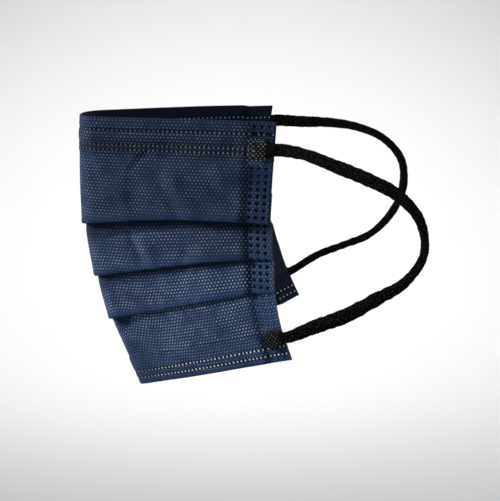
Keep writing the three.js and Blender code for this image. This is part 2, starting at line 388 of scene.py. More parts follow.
@dataclass
class Softness:
    """The gentle swells, dents and creases of the handled cloth, in metres."""

    swell: float = 0.9 * MM
    ripple: float = 0.26 * MM
    recess: tuple[float, ...] = (0, 1.6 * MM, 0.7 * MM, 0.3 * MM)
    roll: float = 0.4 * MM
    nose_roll: float = 0.45 * MM
    lines: tuple[Crease, ...] = CREASES
    sharpness: float = 1.25

    def waves(self, across: float, down: float) -> float:
        """Return the broad soft unevenness of the cloth at a place, and its single creases."""
        calm = ease(2 * MM, 16 * MM, abs(across)) * ease(1 * MM, 13 * MM, HALF_WIDTH - abs(across))
        broad = noise.noise(Vector((across * 26, down * 40, 3.1)))
        fine = noise.noise(Vector((across * 80, down * 95, 11.7)))
        edges = ease(0, 9 * MM, down) * ease(0, 8 * MM, CENTRE_HEIGHT - down)
        lift = calm * edges * (self.swell * broad + self.ripple * fine)
        return lift + self.sharpness * sum(line.lift(across, down) for line in self.lines)

    def tuck(self, panel: int, share: float, below: float) -> float:
        """Return how far a panel stays back under the fold above it, at a distance below that fold."""
        across = abs(share) * HALF_WIDTH
        reach = mix(2.4 * MM, 4.4 * MM if panel == 1 else 2.8 * MM, ease(0, 30 * MM, across))
        depth = self.recess[panel] * mix(0.25, 1, ease(2 * MM, 14 * MM, across))
        depth *= mix(0.12, 1, ease(4 * MM, 16 * MM, HALF_WIDTH - across))
        return -depth * hump(below, reach)

    def creases(self, panel: int, share: float, below: float) -> float:
        """Return the lift of the single dents and creases, such as the one along the second panel."""
        across = share * HALF_WIDTH
        if panel == 1 and share > 0:
            line = mix(6.4 * MM, 3.4 * MM, (across - 16 * MM) / (40 * MM))
            length = ease(9 * MM, 20 * MM, across) * (1 - ease(46 * MM, 60 * MM, across))
            crease = -0.55 * MM * length * hump(below - line, 1.25 * MM)
            dent = -1.3 * MM * hump(across - 12.5 * MM, 3.2 * MM) * hump(below - 2.2 * MM, 3 * MM)
            return crease + dent
        if panel == 1:
            length = ease(14 * MM, 26 * MM, -across) * (1 - ease(54 * MM, 66 * MM, -across))
            return -0.45 * MM * length * hump(below - 6 * MM, 1.4 * MM)
        if panel == BOTTOM_PANEL:
            return -1.3 * MM * hump(abs(across) - 11.5 * MM, 3.2 * MM) * hump(below - 4 * MM, 3.8 * MM)
        if panel == 2:
            slant = across - 47 * MM - (below - 9 * MM) * 0.55
            return -0.3 * MM * hump(slant, 1.5 * MM) * hump(below - 9 * MM, 6 * MM)
        return 0.0

    def belly(self, panel: int, across: float) -> float:
        """Return how far a panel fills out between the nose and the side band."""
        side = HALF_WIDTH - abs(across)
        full = 0.7 * MM * ease(8 * MM, 40 * MM, abs(across))
        slack = (0.0, 0.9 * MM, 0.7 * MM, 0.25 * MM)[panel]
        return full + slack * (ease(10 * MM, 36 * MM, side) - 1) * ease(12 * MM, 40 * MM, abs(across))

    def hollow(self, panel: int, share: float, below: float) -> float:
        """Return the tuck and the creases of a panel together, at a distance below its upper fold."""
        return self.tuck(panel, share, below) + self.creases(panel, share, below)

    def fold_roll(self, share: float) -> float:
        """Return how far the cloth stands out where it rolls round the bottom of a pleat."""
        across = abs(share) * HALF_WIDTH
        side = ease(3 * MM, 13 * MM, HALF_WIDTH - across)
        nose = ease(1 * MM, 8 * MM, across)
        rolled = self.roll + self.nose_roll * hump(across - 12 * MM, 9 * MM)
        return mix(0.12, 1, side * mix(0.3, 1, nose)) * rolled


@dataclass
class Station:
    """A cut through the folded cloth at one share of its width, with the lengths of its stretches."""

    share: float
    frames: list[PanelFrame]
    overlap: float
    roll: float
    starts: list[float] = field(default_factory=list)
    lengths: list[float] = field(default_factory=list)


@dataclass
class FoldedForm:
    """The form that every piece of cloth follows: four panels with three pleats between them."""

    ply: float = 0.45 * MM
    pitch: float = 0.6 * MM
    edge_gap: float = 0.55 * MM
    overlap_centre: float = 7.7 * MM
    overlap_side: float = 11.7 * MM
    welds: WeldPlan = field(default_factory=WeldPlan)
    softness: Softness = field(default_factory=Softness)
    stations: dict[float, Station] = field(default_factory=dict)
    stretches: tuple[Stretch, ...] = field(default_factory=lambda: tuple(stretches_down()))

    def __post_init__(self) -> None:
        """Keep the rows of the flat cut at which the stretches start, and the last row."""
        self.row_starts = [0, *accumulate(stretch.rows for stretch in self.stretches)]

    def panel_frame(self, panel: int, share: float) -> PanelFrame:
        """Find the frame of a panel in one station.

        Args:
            panel: the panel's number, from 0 at the top.
            share: the place across the cloth, from -1 to 1.

        Returns:
            The frame, with its start tucked under the fold above it.
        """
        plan = PANELS[panel]
        end = plan.lower.point(share)
        start = plan.upper.point(share)
        if panel:
            start = start - self.panel_frame(panel - 1, share).out * (2 * self.pitch)
        down = end - start
        length = down.length
        down.normalize()
        along = plan.middle(share + NUDGE) - plan.middle(share - NUDGE)
        out = down.cross(along.normalized()).normalized()
        return PanelFrame(start, down, out, length, mix(plan.centre_bow, plan.side_bow, abs(share)))

    def fold_run(self, station: Station, panel: int) -> float:
        """Return how far down a panel's frame the cloth starts to turn under."""
        return station.frames[panel].length - (self.pitch + station.roll) / 2 - self.ply / 2

    def run_ends(self, station: Station, stretch: Stretch) -> tuple[float, float]:
        """Find where a stretch starts and ends.

        Args:
            station: the cut through the cloth.
            stretch: the stretch.

        Returns:
            The two runs down the panel's frame, or the two angles of a turn.
        """
        if stretch.ply in (Ply.LOWER_TURN, Ply.UPPER_TURN):
            return 0.0, math.pi
        length = station.frames[stretch.framed_by].length
        fold = self.fold_run(station, stretch.framed_by)
        if stretch.ply is Ply.UNDERLAY:
            return fold, fold - station.overlap
        if stretch.ply is Ply.HIDDEN:
            return fold - station.overlap, length
        cuts = (0.0, fold - 3 * MM, fold)
        if stretch.panel == TOP_PANEL:
            cuts = (self.edge_gap, 17 * MM, fold - 3 * MM, fold)
        if stretch.panel == BOTTOM_PANEL:
            cuts = (0.0, length - 11.5 * MM, length - self.edge_gap)
        return cuts[stretch.part], cuts[stretch.part + 1]

    def station(self, share: float) -> Station:
        """Return the cut through the cloth at a share of its width, made once and kept."""
        key = round(share, 6)
        if key in self.stations:
            return self.stations[key]
        frames = [self.panel_frame(panel, key) for panel in range(len(PANELS))]
        overlap = mix(self.overlap_centre, self.overlap_side, abs(key))
        made = Station(key, frames, overlap, self.softness.fold_roll(key))
        down = 0.0
        for stretch in self.stretches:
            low, high = self.run_ends(made, stretch)
            length = abs(high - low)
            if stretch.ply is Ply.LOWER_TURN:
                length *= (self.pitch + made.roll) / 2
            if stretch.ply is Ply.UPPER_TURN:
                length *= self.pitch / 2
            made.starts.append(down)
            made.lengths.append(length)
            down += length
        self.stations[key] = made
        return made

    def continuous_start(self, station: Station, panel: int) -> float:
        """Return how far down the folded cloth a panel starts, counted without a break."""
        return sum(frame_.length for frame_ in station.frames[:panel])

    def folded_start(self, station: Station, panel: int) -> float:
        """Return how far down a panel starts, counted up from the bottom edge for the last one."""
        if panel == BOTTOM_PANEL:
            return CENTRE_HEIGHT - station.frames[panel].length
        return self.continuous_start(station, panel)

    def run_depth_facing(self, station: Station, stretch: Stretch, t: float) -> tuple[float, float, Vector]:
        """Find where the middle of the ply lies, before its pressing and its softness.

        Args:
            station: the cut through the cloth.
            stretch: the stretch that the place is on.
            t: the share of the stretch, from its start to its end.

        Returns:
            The run down the panel's frame, the depth behind its face and the way the ply faces.
        """
        low, high = self.run_ends(station, stretch)
        run = mix(low, high, t)
        depth = self.ply / 2
        panel_frame = station.frames[stretch.framed_by]
        out, down = panel_frame.out, panel_frame.down
        fold = self.fold_run(station, stretch.framed_by)
        if stretch.ply is Ply.FACE:
            depth -= station.roll * hump(fold - run, 2.3 * MM) if stretch.panel != BOTTOM_PANEL else 0
            return run, depth, out
        if stretch.ply is Ply.UNDERLAY:
            return run, depth + self.pitch, -out
        if stretch.ply is Ply.HIDDEN:
            depth += 2 * self.pitch
            return run, depth - self.softness.hollow(stretch.panel, station.share, 0) * ease(0, 1, t), out
        sine, cosine = math.sin(run), math.cos(run)
        if stretch.ply is Ply.LOWER_TURN:
            radius = (self.pitch + station.roll) / 2
            depth += (self.pitch - station.roll) / 2 - radius * cosine
            return fold + radius * sine, depth, out * cosine + down * sine
        radius = self.pitch / 2
        depth += 1.5 * self.pitch - radius * cosine
        return fold - station.overlap - radius * sine, depth, -out * cosine + down * sine

    def spot(self, share: float, row: float) -> Spot:
        """Fold one point of the flat cut.

        Args:
            share: the place across the cloth, from -1 to 1.
            row: the place down the cut, in rows.

        Returns:
            The spot in the middle of the ply, with its pressing and its softness.
        """
        index = min(len(self.stretches) - 1, max(0, bisect_right(self.row_starts, row + 1e-6) - 1))
        stretch = self.stretches[index]
        t = (row - self.row_starts[index]) / stretch.rows
        station = self.station(share)
        framed_by = stretch.framed_by
        panel_frame = station.frames[framed_by]
        across = station.share * HALF_WIDTH
        run, depth, facing = self.run_depth_facing(station, stretch, t)
        if framed_by:
            depth -= self.softness.hollow(framed_by, station.share, run)
        folded = self.folded_start(station, framed_by) + run
        whole = self.continuous_start(station, framed_by) + run
        lift = self.welds.relief(across, folded) + self.softness.waves(across, whole)
        if stretch.ply is Ply.FACE:
            lift += self.welds.side_pits(across, folded)
        if stretch.ply is Ply.HIDDEN:
            folded = self.folded_start(station, stretch.panel) + run - panel_frame.length
        lift += self.softness.belly(framed_by, across) - self.welds.plain_lift
        at = panel_frame.place(run, depth) + panel_frame.out * lift
        down_cloth = station.starts[index] + t * station.lengths[index]
        above_fold = ZONE_SPAN
        if stretch.panel != BOTTOM_PANEL:
            above_fold = max(0.0, self.fold_run(station, framed_by) - run)
        below_fold = 0.0 if stretch.ply is Ply.HIDDEN else run
        return Spot(
            at, facing, down_cloth, folded, across, stretch.ply, stretch.panel, above_fold, below_fold
        )


class Shader:
    """A short way to add nodes to a material's or a group's tree."""

    def __init__(self, tree: Tree) -> None:
        """Keep the tree that the nodes go into."""
        self.tree = tree

    def node(self, kind: str, **settings: object) -> Node:
        """Add a node and set its properties."""
        made = self.tree.nodes.new(kind)
        for name, value in settings.items():
            setattr(made, name, value)
        return made

    def feed(self, socket: Socket, value: object) -> None:
        """Link a socket to another, or set its own value."""
        if isinstance(value, Socket):
            self.tree.links.new(value, socket)
        else:
            socket.default_value = value

    def math(self, operation: str, *values: object, clamp: bool = False) -> Socket:
        """Add a Math node and return its result."""
        made = self.node("ShaderNodeMath", operation=operation, use_clamp=clamp)
        for socket, value in zip(made.inputs, values):
            self.feed(socket, value)
        return made.outputs[0]

    def chain(self, operation: str, values: tuple[object, ...]) -> Socket:
        """Join values by one operation, from the first to the last."""
        result = values[0]
        for value in values[1:]:
            result = self.math(operation, result, value)
        return result

    def times(self, *values: object) -> Socket:
        """Multiply values."""
        return self.chain("MULTIPLY", values)

    def plus(self, *values: object) -> Socket:
        """Add values."""
        return self.chain("ADD", values)

    def largest(self, *values: object) -> Socket:
        """Return the largest of some values."""
        return self.chain("MAXIMUM", values)

    def minus(self, value: object, taken: object, clamp: bool = False) -> Socket:
        """Take one value from another."""
        return self.math("SUBTRACT", value, taken, clamp=clamp)

    def over(self, value: object, divisor: object) -> Socket:
        """Divide one value by another."""
        return self.math("DIVIDE", value, divisor)

    def size(self, value: object) -> Socket:
        """Return a value without its sign."""
        return self.math("ABSOLUTE", value)

    def apart(self, value: object, other: object) -> Socket:
        """Return how far two values are apart."""
        return self.size(self.minus(value, other))

    def reach(self, x: object, y: object) -> Socket:
        """Return the distance that x one way and y square to it make together."""
        return self.math("SQRT", self.plus(self.math("POWER", x, 2.0), self.math("POWER", y, 2.0)))

    def off_middle(self, cells: object, pitch: object) -> Socket:
        """Return how far a place, counted in cells of one pitch, is from the middle of its cell."""
        return self.times(self.minus(self.math("FRACT", cells), 0.5), pitch)

    def step(self, value: object, low: float, high: float, start: float = 0, end: float = 1) -> Socket:
        """Add a smooth Map Range from start at low to end at high and return its result."""
        made = self.node("ShaderNodeMapRange", interpolation_type="SMOOTHSTEP")
        labels = ("Value", "From Min", "From Max", "To Min", "To Max")
        for label, fed in zip(labels, (value, low, high, start, end)):
            self.feed(made.inputs[label], fed)
        return made.outputs[0]

    def tint(self, share: object, first: object, second: object) -> Socket:
        """Mix two colours and return the result."""
        made = self.node("ShaderNodeMix", data_type="RGBA")
        self.feed(made.inputs["Factor"], share)
        self.feed(made.inputs[6], first)
        self.feed(made.inputs[7], second)
        return made.outputs[2]

    def layered(self, colour: Socket, *layers: tuple[object, object]) -> Socket:
        """Lay tints over a colour one after the other, each given by its share and its colour."""
        for share, tone in layers:
            colour = self.tint(share, colour, tone)
        return colour

    def cloud(self, vector: object, scale: float, detail: float, rough: float) -> Socket:
        """Add a noise and return its value."""
        made = self.node("ShaderNodeTexNoise")
        labels = ("Vector", "Scale", "Detail", "Roughness")
        for label, fed in zip(labels, (vector, scale, detail, rough)):
            self.feed(made.inputs[label], fed)
        return made.outputs["Fac"]

    def split(self, vector: object) -> tuple[Socket, Socket]:
        """Return the first two parts of a vector."""
        made = self.node("ShaderNodeSeparateXYZ")
        self.feed(made.inputs[0], vector)
        return made.outputs[0], made.outputs[1]

    def join(self, x: object, y: object) -> Socket:
        """Return a vector made of two values."""
        made = self.node("ShaderNodeCombineXYZ")
        self.feed(made.inputs[0], x)
        self.feed(made.inputs[1], y)
        return made.outputs[0]

    def uv(self, name: str) -> Socket:
        """Return the place on a UV map."""
        return self.node("ShaderNodeUVMap", uv_map=name).outputs[0]

    def uv_millimetres(self, name: str, span: float, shift: float = 0) -> Socket:
        """Return the place on a UV map whose unit covers a span in metres, shifted along x, in millimetres."""
        mapping = self.node("ShaderNodeMapping")
        self.feed(mapping.inputs["Vector"], self.uv(name))
        mapping.inputs["Location"].default_value = (shift / MM, 0, 0)
        mapping.inputs["Scale"].default_value = (span / MM, span / MM, 1)
        return mapping.outputs[0]

    def use(self, group: Tree, **inputs: object) -> dict[str, Socket]:
        """Place a node group, feed its inputs and return its outputs by name."""
        made = self.node("ShaderNodeGroup", node_tree=group)
        for name, value in inputs.items():
            self.feed(made.inputs[name], value)
        return {socket.name: socket for socket in made.outputs}

    def bump(self, surface: Node, height: Socket, strength: float, distance: float) -> None:
        """Give a surface the relief of a height."""
        made = self.node("ShaderNodeBump")
        for label, fed in (("Strength", strength), ("Distance", distance), ("Height", height)):
            self.feed(made.inputs[label], fed)
        self.feed(surface.inputs["Normal"], made.outputs[0])


def new_material(name: str) -> tuple[Material, Shader, Node]:
    """Start a material and return it with its shader and its surface node."""
    material = bpy.data.materials.new(name)
    material.use_nodes = True
    return material, Shader(material.node_tree), material.node_tree.nodes["Principled BSDF"]


@dataclass
class Effect:
    """A shared node group in the making, which reads a vector named Place in millimetres."""

    name: str
    sizes: tuple[str, ...]
    results: tuple[str, ...]

    def __post_init__(self) -> None:
        """Make the group's tree, its sockets and its two end nodes."""
        tree = bpy.data.node_groups.new(self.name, "ShaderNodeTree")
        tree.interface.new_socket("Place", in_out="INPUT", socket_type="NodeSocketVector")
        for label in self.sizes:
            tree.interface.new_socket(label, in_out="INPUT", socket_type="NodeSocketFloat")
        for label in self.results:
            tree.interface.new_socket(label, in_out="OUTPUT", socket_type="NodeSocketFloat")
        self.shader = Shader(tree)
        self.given = self.shader.node("NodeGroupInput").outputs
        self.ends = self.shader.node("NodeGroupOutput").inputs

    def finished(self, **values: Socket) -> Tree:
        """Feed the results and return the group."""
        for name, value in values.items():
            self.shader.feed(self.ends[name], value)
        return self.shader.tree


class Effects:
    """The shared effects: bond points of the cloth, weld points, pits of the side bands and mottling."""

    def __init__(self) -> None:
        """Build each group once."""
        self.bonds = self.build_bonds()
        self.weld_row = self.build_weld_row()
        self.pits = self.build_pits()
        self.mottle = self.build_mottle()

    def build_bonds(self) -> Tree:
        """Return the staggered lattice of small pressed points."""
        effect = Effect("Bond points", ("Along", "Across"), ("Dot", "Gap", "Chance"))
        s, given = effect.shader, effect.given
        x, y = s.split(given["Place"])
        row = s.over(y, given["Across"])
        number = s.math("FLOOR", row)
        odd = s.times(s.math("PINGPONG", number, 1.0), 0.5)
        column = s.plus(s.over(x, given["Along"]), odd)
        far = s.reach(s.off_middle(column, given["Along"]), s.off_middle(row, given["Across"]))
        chance = s.node("ShaderNodeTexWhiteNoise", noise_dimensions="2D")
        s.feed(chance.inputs["Vector"], s.join(s.math("FLOOR", column), number))
        return effect.finished(
            Dot=s.step(far, 0.42, 0.17), Gap=s.step(far, 0.42, 0.8), Chance=chance.outputs["Value"]
        )

    def build_weld_row(self) -> Tree:
        """Return one row of pale weld points with black points between them."""
        effect = Effect("Weld row", ("Row", "Pitch", "Radius"), ("Spot", "Press"))
        s, given = effect.shader, effect.given
        x, y = s.split(given["Place"])
        off_x = s.off_middle(s.over(x, given["Pitch"]), given["Pitch"])
        off_y = s.minus(y, given["Row"])
        spot = s.step(s.over(s.reach(off_x, off_y), given["Radius"]), 1.2, 0.65)
        off_gap = s.minus(s.times(given["Pitch"], 0.5), s.size(off_x))
        black = s.step(s.reach(off_gap, off_y), 0.78, 0.42)
        smear = s.step(s.size(off_y), 1.1, 0.3, 0.0, 0.45)
        return effect.finished(Spot=spot, Press=s.largest(black, smear))

    def build_pits(self) -> Tree:
        """Return the three columns of pits beside an edge, by the distance from it and the fall."""
        effect = Effect("Side pits", ("Radius",), ("Pit",))
        s = effect.shader
        welds = WeldPlan()
        x, y = s.split(effect.given["Place"])
        column = s.over(s.minus(x, welds.first_column / MM), welds.column_pitch / MM)
        off_x = s.times(s.minus(column, s.math("ROUND", column)), welds.column_pitch / MM)
        row = s.over(s.minus(y, welds.pit_start / MM), welds.pit_pitch / MM)
        ratio = s.over(s.reach(off_x, s.off_middle(row, welds.pit_pitch / MM)), effect.given["Radius"])
        inside = s.times(s.step(x, 1.0, 1.2), s.step(x, 10.2, 9.9))
        return effect.finished(Pit=s.times(s.step(ratio, 1.25, 0.75), inside))

    def build_mottle(self) -> Tree:
        """Return a soft unevenness of tone, from broad clouds and short fibres."""
        effect = Effect("Mottle", (), ("Tone", "Patch", "Fibre"))
        s, place = effect.shader, effect.given["Place"]
        stretched = s.node("ShaderNodeMapping")
        s.feed(stretched.inputs["Vector"], place)
        stretched.inputs["Rotation"].default_value = (0, 0, 0.5)
        stretched.inputs["Scale"].default_value = (1.6, 7.0, 1)
        return effect.finished(
            Tone=s.step(s.cloud(place, 0.055, 3, 0.55), 0.3, 0.7),
            Patch=s.step(s.cloud(place, 0.11, 2, 0.5), 0.32, 0.62),
            Fibre=s.cloud(stretched.outputs[0], 1.0, 3, 0.6),
        )


class ClothPlaces:
    """What the parts of a cloth finish read: places in millimetres, and the shared effects there.

    The panel goes from 0 at the top edge to 1 at the bottom edge, a quarter for each panel. Below goes
    from 0 at the fold above a panel to 1 about 20 mm under it.
    """

    def __init__(self, s: Shader, effects: Effects) -> None:
        """Read the maps named cloth, weld and zone."""
        self.s = s
        self.cloth = s.uv_millimetres("cloth", UV_SPAN, -UV_SPAN / 2)
        self.weld = s.uv_millimetres("weld", UV_SPAN, -UV_SPAN / 2)
        across, self.fall = s.split(self.weld)
        self.far_out = s.size(across)
        self.side = s.minus(HALF_WIDTH / MM, self.far_out)
        self.panel, self.above_fold = s.split(s.uv("zone"))
        self.below = s.math("FRACT", s.times(self.panel, 4.0))
        self.bonds = s.use(effects.bonds, Place=self.cloth, Along=1.55, Across=1.3)
        self.mottle = s.use(effects.mottle, Place=self.cloth)


@dataclass(frozen=True)
class ClothFinish:
    """Layered nonwoven cloth with its bond points, weld points and side pits, and painted shade over the upper
    panels, under the folds, along the creases, the side bands and the bottom hem's line.
    """

    name: str
    base: Colour
    light: Colour
    # The colour of the painted shade right under the folds and along the creases.
    deep: Colour
    bond: Colour
    upper_bond_in_shade: Colour
    cut_edge: Colour
    film: Colour
    low_film: Colour
    # The near black of the pits, the weld rows' pressing and the net by the pads; also the painted shade of
    # the first panel's rim and of the weld points near the nose.
    pit_and_shade: Colour
    pit_strength: float
    bond_strength: float
    film_shade_near_nose: float
    top_film: float
    bump: float
    sheen: float

    def tucked(self, at: ClothPlaces) -> Socket:
        """Return the shade right under each fold, which is deeper in the dents beside the nose."""
        s = at.s
        off_dent = s.apart(at.far_out, s.minus(11.5, s.times(at.below, 10.0)))
        dent = s.times(s.step(off_dent, 6.0, 1.5), s.step(at.panel, 0.5, 0.76, 0.22, 0.5))
        reach = s.plus(s.step(at.panel, 0.3, 0.85, 0.28, 0.05), dent)
        shade = s.step(s.over(at.below, reach), 1.0, 0.1, 0.0, 0.7)
        return s.times(shade, s.step(at.panel, 0.2, 0.25), s.step(at.side, 4.0, 16.0, 0.4, 1.0))

    def creased(self, at: ClothPlaces) -> Socket:
        """Return the shade of the long creases under the first and the second fold."""
        s = at.s
        second_line = s.step(at.far_out, 8.0, 62.0, 6.6, 3.2)
        third_line = s.step(at.far_out, 8.0, 62.0, 5.2, 3.0)
        is_third = s.step(at.panel, 0.49, 0.5)
        line = s.plus(second_line, s.times(is_third, s.minus(third_line, second_line)))
        past_line = s.minus(s.times(at.below, 20.8), line)
        above_line = s.step(past_line, 0.8, -0.8, 0.0, 0.4)
        on_line = s.step(s.size(past_line), 1.1, 0.2, 0.0, 0.4)
        on_line = s.times(on_line, s.step(at.mottle["Fibre"], 0.35, 0.6, 0.45, 1.0))
        inner_panels = s.times(s.step(at.panel, 0.24, 0.26), s.step(at.panel, 0.76, 0.74))
        return s.times(s.largest(above_line, on_line), inner_panels, s.step(at.side, 10.0, 24.0))

    def band_shade(self, at: ClothPlaces) -> Socket:
        """Return the painted shade along the side bands and over the channel of the top hem."""
        s = at.s
        by_band = s.times(
            s.step(at.side, 9.4, 10.4),
            s.step(at.side, 14.5, 10.6, 0.0, 0.55),
            s.step(at.panel, 0.76, 0.74, 0.3, 1.0),
            s.step(at.fall, 14.0, 24.0),
        )
        second_panel = s.times(s.step(at.panel, 0.25, 0.27), s.step(at.panel, 0.5, 0.48))
        wide = s.times(s.step(at.side, 9.4, 12.0), s.step(at.side, 38.0, 16.0, 0.0, 0.34))
        channel = s.step(s.apart(at.fall, 10.0), 6.4, 4.6, 0.0, 0.22)
        return s.largest(by_band, s.times(wide, second_panel), channel)

    def hem_line(self, at: ClothPlaces) -> Socket:
        """Return the shade of the line where the leaf of the bottom hem ends behind the cloth."""
        welds = WeldPlan()
        off_line = at.s.apart(at.fall, (welds.span - welds.bottom_hem) / MM)
        return at.s.step(off_line, 0.9, 0.2, 0.0, 0.42)

    def bonded(self, at: ClothPlaces, shade: Socket) -> Socket:
        """Return how strongly each bond point shows, which is least in the painted shade, on the upper panels
        and near the edges.
        """
        s = at.s
        plain_nose = s.times(s.step(at.fall, 96.0, 102.0), s.step(at.far_out, 30.0, 14.0, 0.0, 0.6))
        patchy = s.times(
            s.step(at.mottle["Patch"], 0.0, 1.0, 0.4, 1.0),
            # painted shade: the bond points show less on the upper panels.
            s.step(at.panel, 0.1, 0.6, 0.5, 1.0),
            s.step(at.above_fold, 0.03, 0.19, 0.2, 1.0),
            s.step(at.fall, 104.8, 106.8, 1.0, 0.5),
            s.minus(1.0, plain_nose),
            s.step(at.fall, 115.7, 116.4, 1.0, 0.3),
            s.minus(1.0, s.times(shade, 1.35), clamp=True),
            s.step(at.side, 9.5, 12.5, 0.4, 1.0),
        )
        even = s.step(at.bonds["Chance"], -0.4, 1.0, 0.35, 1.0)
        return s.times(at.bonds["Dot"], s.times(even, patchy), self.bond_strength)

    def weld_rows(self, at: ClothPlaces, row_effect: Tree) -> tuple[Socket, Socket]:
        """Return the pale points of all weld rows and the black pressing between them."""
        welds = WeldPlan()
        plan = [(row, welds.top_pitch) for row in welds.top_rows]
        plan += [(welds.span - row, welds.bottom_pitch) for row in welds.bottom_rows]
        rows = [
            at.s.use(row_effect, Place=at.weld, Row=row / MM, Pitch=pitch / MM, Radius=0.35)
            for row, pitch in plan
        ]
        return at.s.largest(*(row["Spot"] for row in rows)), at.s.largest(*(row["Press"] for row in rows))

    def weld_film_with_highlight(self, at: ClothPlaces) -> Socket:
        """Return the colour of the weld points: their pale film, with a painted highlight that leaves them
        darker near the nose and brighter towards the sides.
        """
        s = at.s
        top = s.times(s.step(at.far_out, 12.0, 75.0, self.film_shade_near_nose, 1.0), self.top_film)
        low = s.step(at.far_out, 3.0, 32.0, 0.3, 1.0)
        is_low = s.step(at.fall, 100.0, 104.0)
        bright = s.plus(top, s.times(is_low, s.minus(low, top)))
        return s.tint(bright, self.pit_and_shade, s.tint(is_low, self.film, self.low_film))

    def by_pad(self, at: ClothPlaces) -> Socket:
        """Return where the cloth is welded in a net, under and beside the upper pad."""
        s = at.s
        beside = s.times(s.step(at.side, 4.5, 4.9), s.step(at.side, 10.9, 10.5))
        return s.times(beside, s.times(s.step(at.fall, 6.8, 7.2), s.step(at.fall, 17.8, 17.3)))

    def pitted(self, at: ClothPlaces, pits: Socket, netted: Socket) -> Socket:
        """Return how dark the pits of the side bands are, which fade by the pads; their near black is painted
        shadow in the pits, over their real dents.
        """
        s = at.s
        clear_of_pad = s.largest(s.step(at.fall, 8.0, 13.0, 1.0, 0.0), s.step(at.fall, 17.0, 32.0, 0.65, 1.0))
        bare = s.minus(self.pit_strength, netted, clamp=True)
        return s.times(pits, bare, clear_of_pad, s.step(at.panel, 0.74, 0.76, 1.0, 0.35))

    def rim(self, at: ClothPlaces) -> tuple[Socket, Socket]:
        """Return the share and the colour of the cut rim: painted shade, near black, on the first panel, and
        the pale colour of the cut edge on the others.
        """
        s = at.s
        is_lower = s.step(at.panel, 0.247, 0.253)
        rim = s.step(s.plus(at.side, s.times(is_lower, 0.35)), 0.8, 0.45)
        rim = s.times(rim, s.minus(0.85, s.times(is_lower, 0.55)))
        return rim, s.tint(is_lower, self.pit_and_shade, self.cut_edge)

    def make(self, effects: Effects) -> Material:
        """Build the material.

        Args:
            effects: the shared node groups.

        Returns:
            The material, which reads the maps named cloth, weld and zone.
        """
        material, s, surface = new_material(self.name)
        at = ClothPlaces(s, effects)
        tucked = self.tucked(at)
        creased = self.creased(at)
        spots, press = self.weld_rows(at, effects.weld_row)
        pits = s.use(effects.pits, Place=s.join(at.side, at.fall), Radius=0.78)["Pit"]
        netted = self.by_pad(at)
        net = s.use(effects.bonds, Place=at.weld, **PAD_NET)["Dot"]
        cloth = s.layered(
            s.tint(at.mottle["Tone"], self.base, self.light),
            # Painted shade: the upper panels are darkened towards black, as less light falls on them.
            (s.step(at.panel, 0.1, 0.6, 0.3, 0.0), BLACK),
            (tucked, self.deep),
            (creased, self.deep),
            (self.band_shade(at), BLACK),
            (self.hem_line(at), BLACK),
        )
        # Painted light: the bond points take a dimmer, browner tone on the upper panels and a brighter one
        # lower down, where their glint catches the light.
        bond = s.tint(s.step(at.panel, 0.1, 0.6), self.upper_bond_in_shade, self.bond)
        colour = s.layered(
            s.tint(s.times(at.bonds["Gap"], 0.6), cloth, s.tint(0.55, cloth, BLACK)),
            (self.bonded(at, s.largest(tucked, creased)), bond),
            (s.times(press, 0.9), self.pit_and_shade),
            (s.times(spots, 0.95), self.weld_film_with_highlight(at)),
            (s.times(netted, 0.5), self.pit_and_shade),
            (s.times(net, netted, 0.42 * self.pit_strength), self.film),
            (self.pitted(at, pits, netted), self.pit_and_shade),
            self.rim(at),
        )
        s.feed(surface.inputs["Base Color"], colour)
        s.feed(surface.inputs["Roughness"], s.minus(0.88, s.times(spots, 0.4)))
        surface.inputs["Sheen Weight"].default_value = self.sheen
        surface.inputs["Sheen Roughness"].default_value = 0.45
        surface.inputs["Specular IOR Level"].default_value = 0.12
        height = s.plus(s.times(at.bonds["Dot"], -0.55), s.times(at.mottle["Fibre"], 0.5))
        s.bump(surface, s.minus(height, s.times(s.largest(spots, pits), 0.9)), self.bump, 0.22 * MM)
        return material


@dataclass(frozen=True)
class ElasticFinish:
    """Black knitted elastic, matt and a little worn, with painted shade in the grooves of its knit."""

    name: str
    base: Colour
    worn: Colour
    groove: Colour
    roughness: float
    stitches_along: float
    stitches_around: float

    def make(self) -> Material:
        """Return the material, which reads the map named knit."""
        material, s, surface = new_material(self.name)
        x, y = s.split(s.uv("knit"))
        around = s.times(x, self.stitches_around)
        along = s.times(y, self.stitches_along)
        rib = s.math("PINGPONG", around, 0.5)
        stitch = s.math("FRACT", s.plus(along, s.times(rib, 1.0)))
        groove = s.largest(s.step(s.apart(stitch, 0.5), 0.3, 0.5), s.step(rib, 0.12, 0.0))
        fuzz = s.cloud(s.join(s.times(around, 1.6), s.times(along, 1.5)), 1.1, 2, 0.6)
        worn = s.tint(s.step(fuzz, 0.55, 0.65), self.base, self.worn)
        # Painted shade: the grooves between the stitches are tinted darker.
        s.feed(surface.inputs["Base Color"], s.tint(s.times(groove, 0.35), worn, self.groove))
        s.feed(surface.inputs["Roughness"], s.step(fuzz, 0.2, 0.8, self.roughness, self.roughness + 0.12))
        surface.inputs["Specular IOR Level"].default_value = 0.03
        s.bump(surface, s.minus(s.times(fuzz, 0.4), groove), 0.6, 0.15 * MM)
        return material


@dataclass(frozen=True)
class PaperFinish:
    """The plain pale paper that the stage is covered with."""

    name: str = "pale paper"
    tone: Colour = (0.82, 0.82, 0.82, 1)

    def make(self) -> Material:
        """Return the material."""
        material, _, surface = new_material(self.name)
        surface.inputs["Base Color"].default_value = self.tone
        surface.inputs["Roughness"].default_value = 0.95
        return material


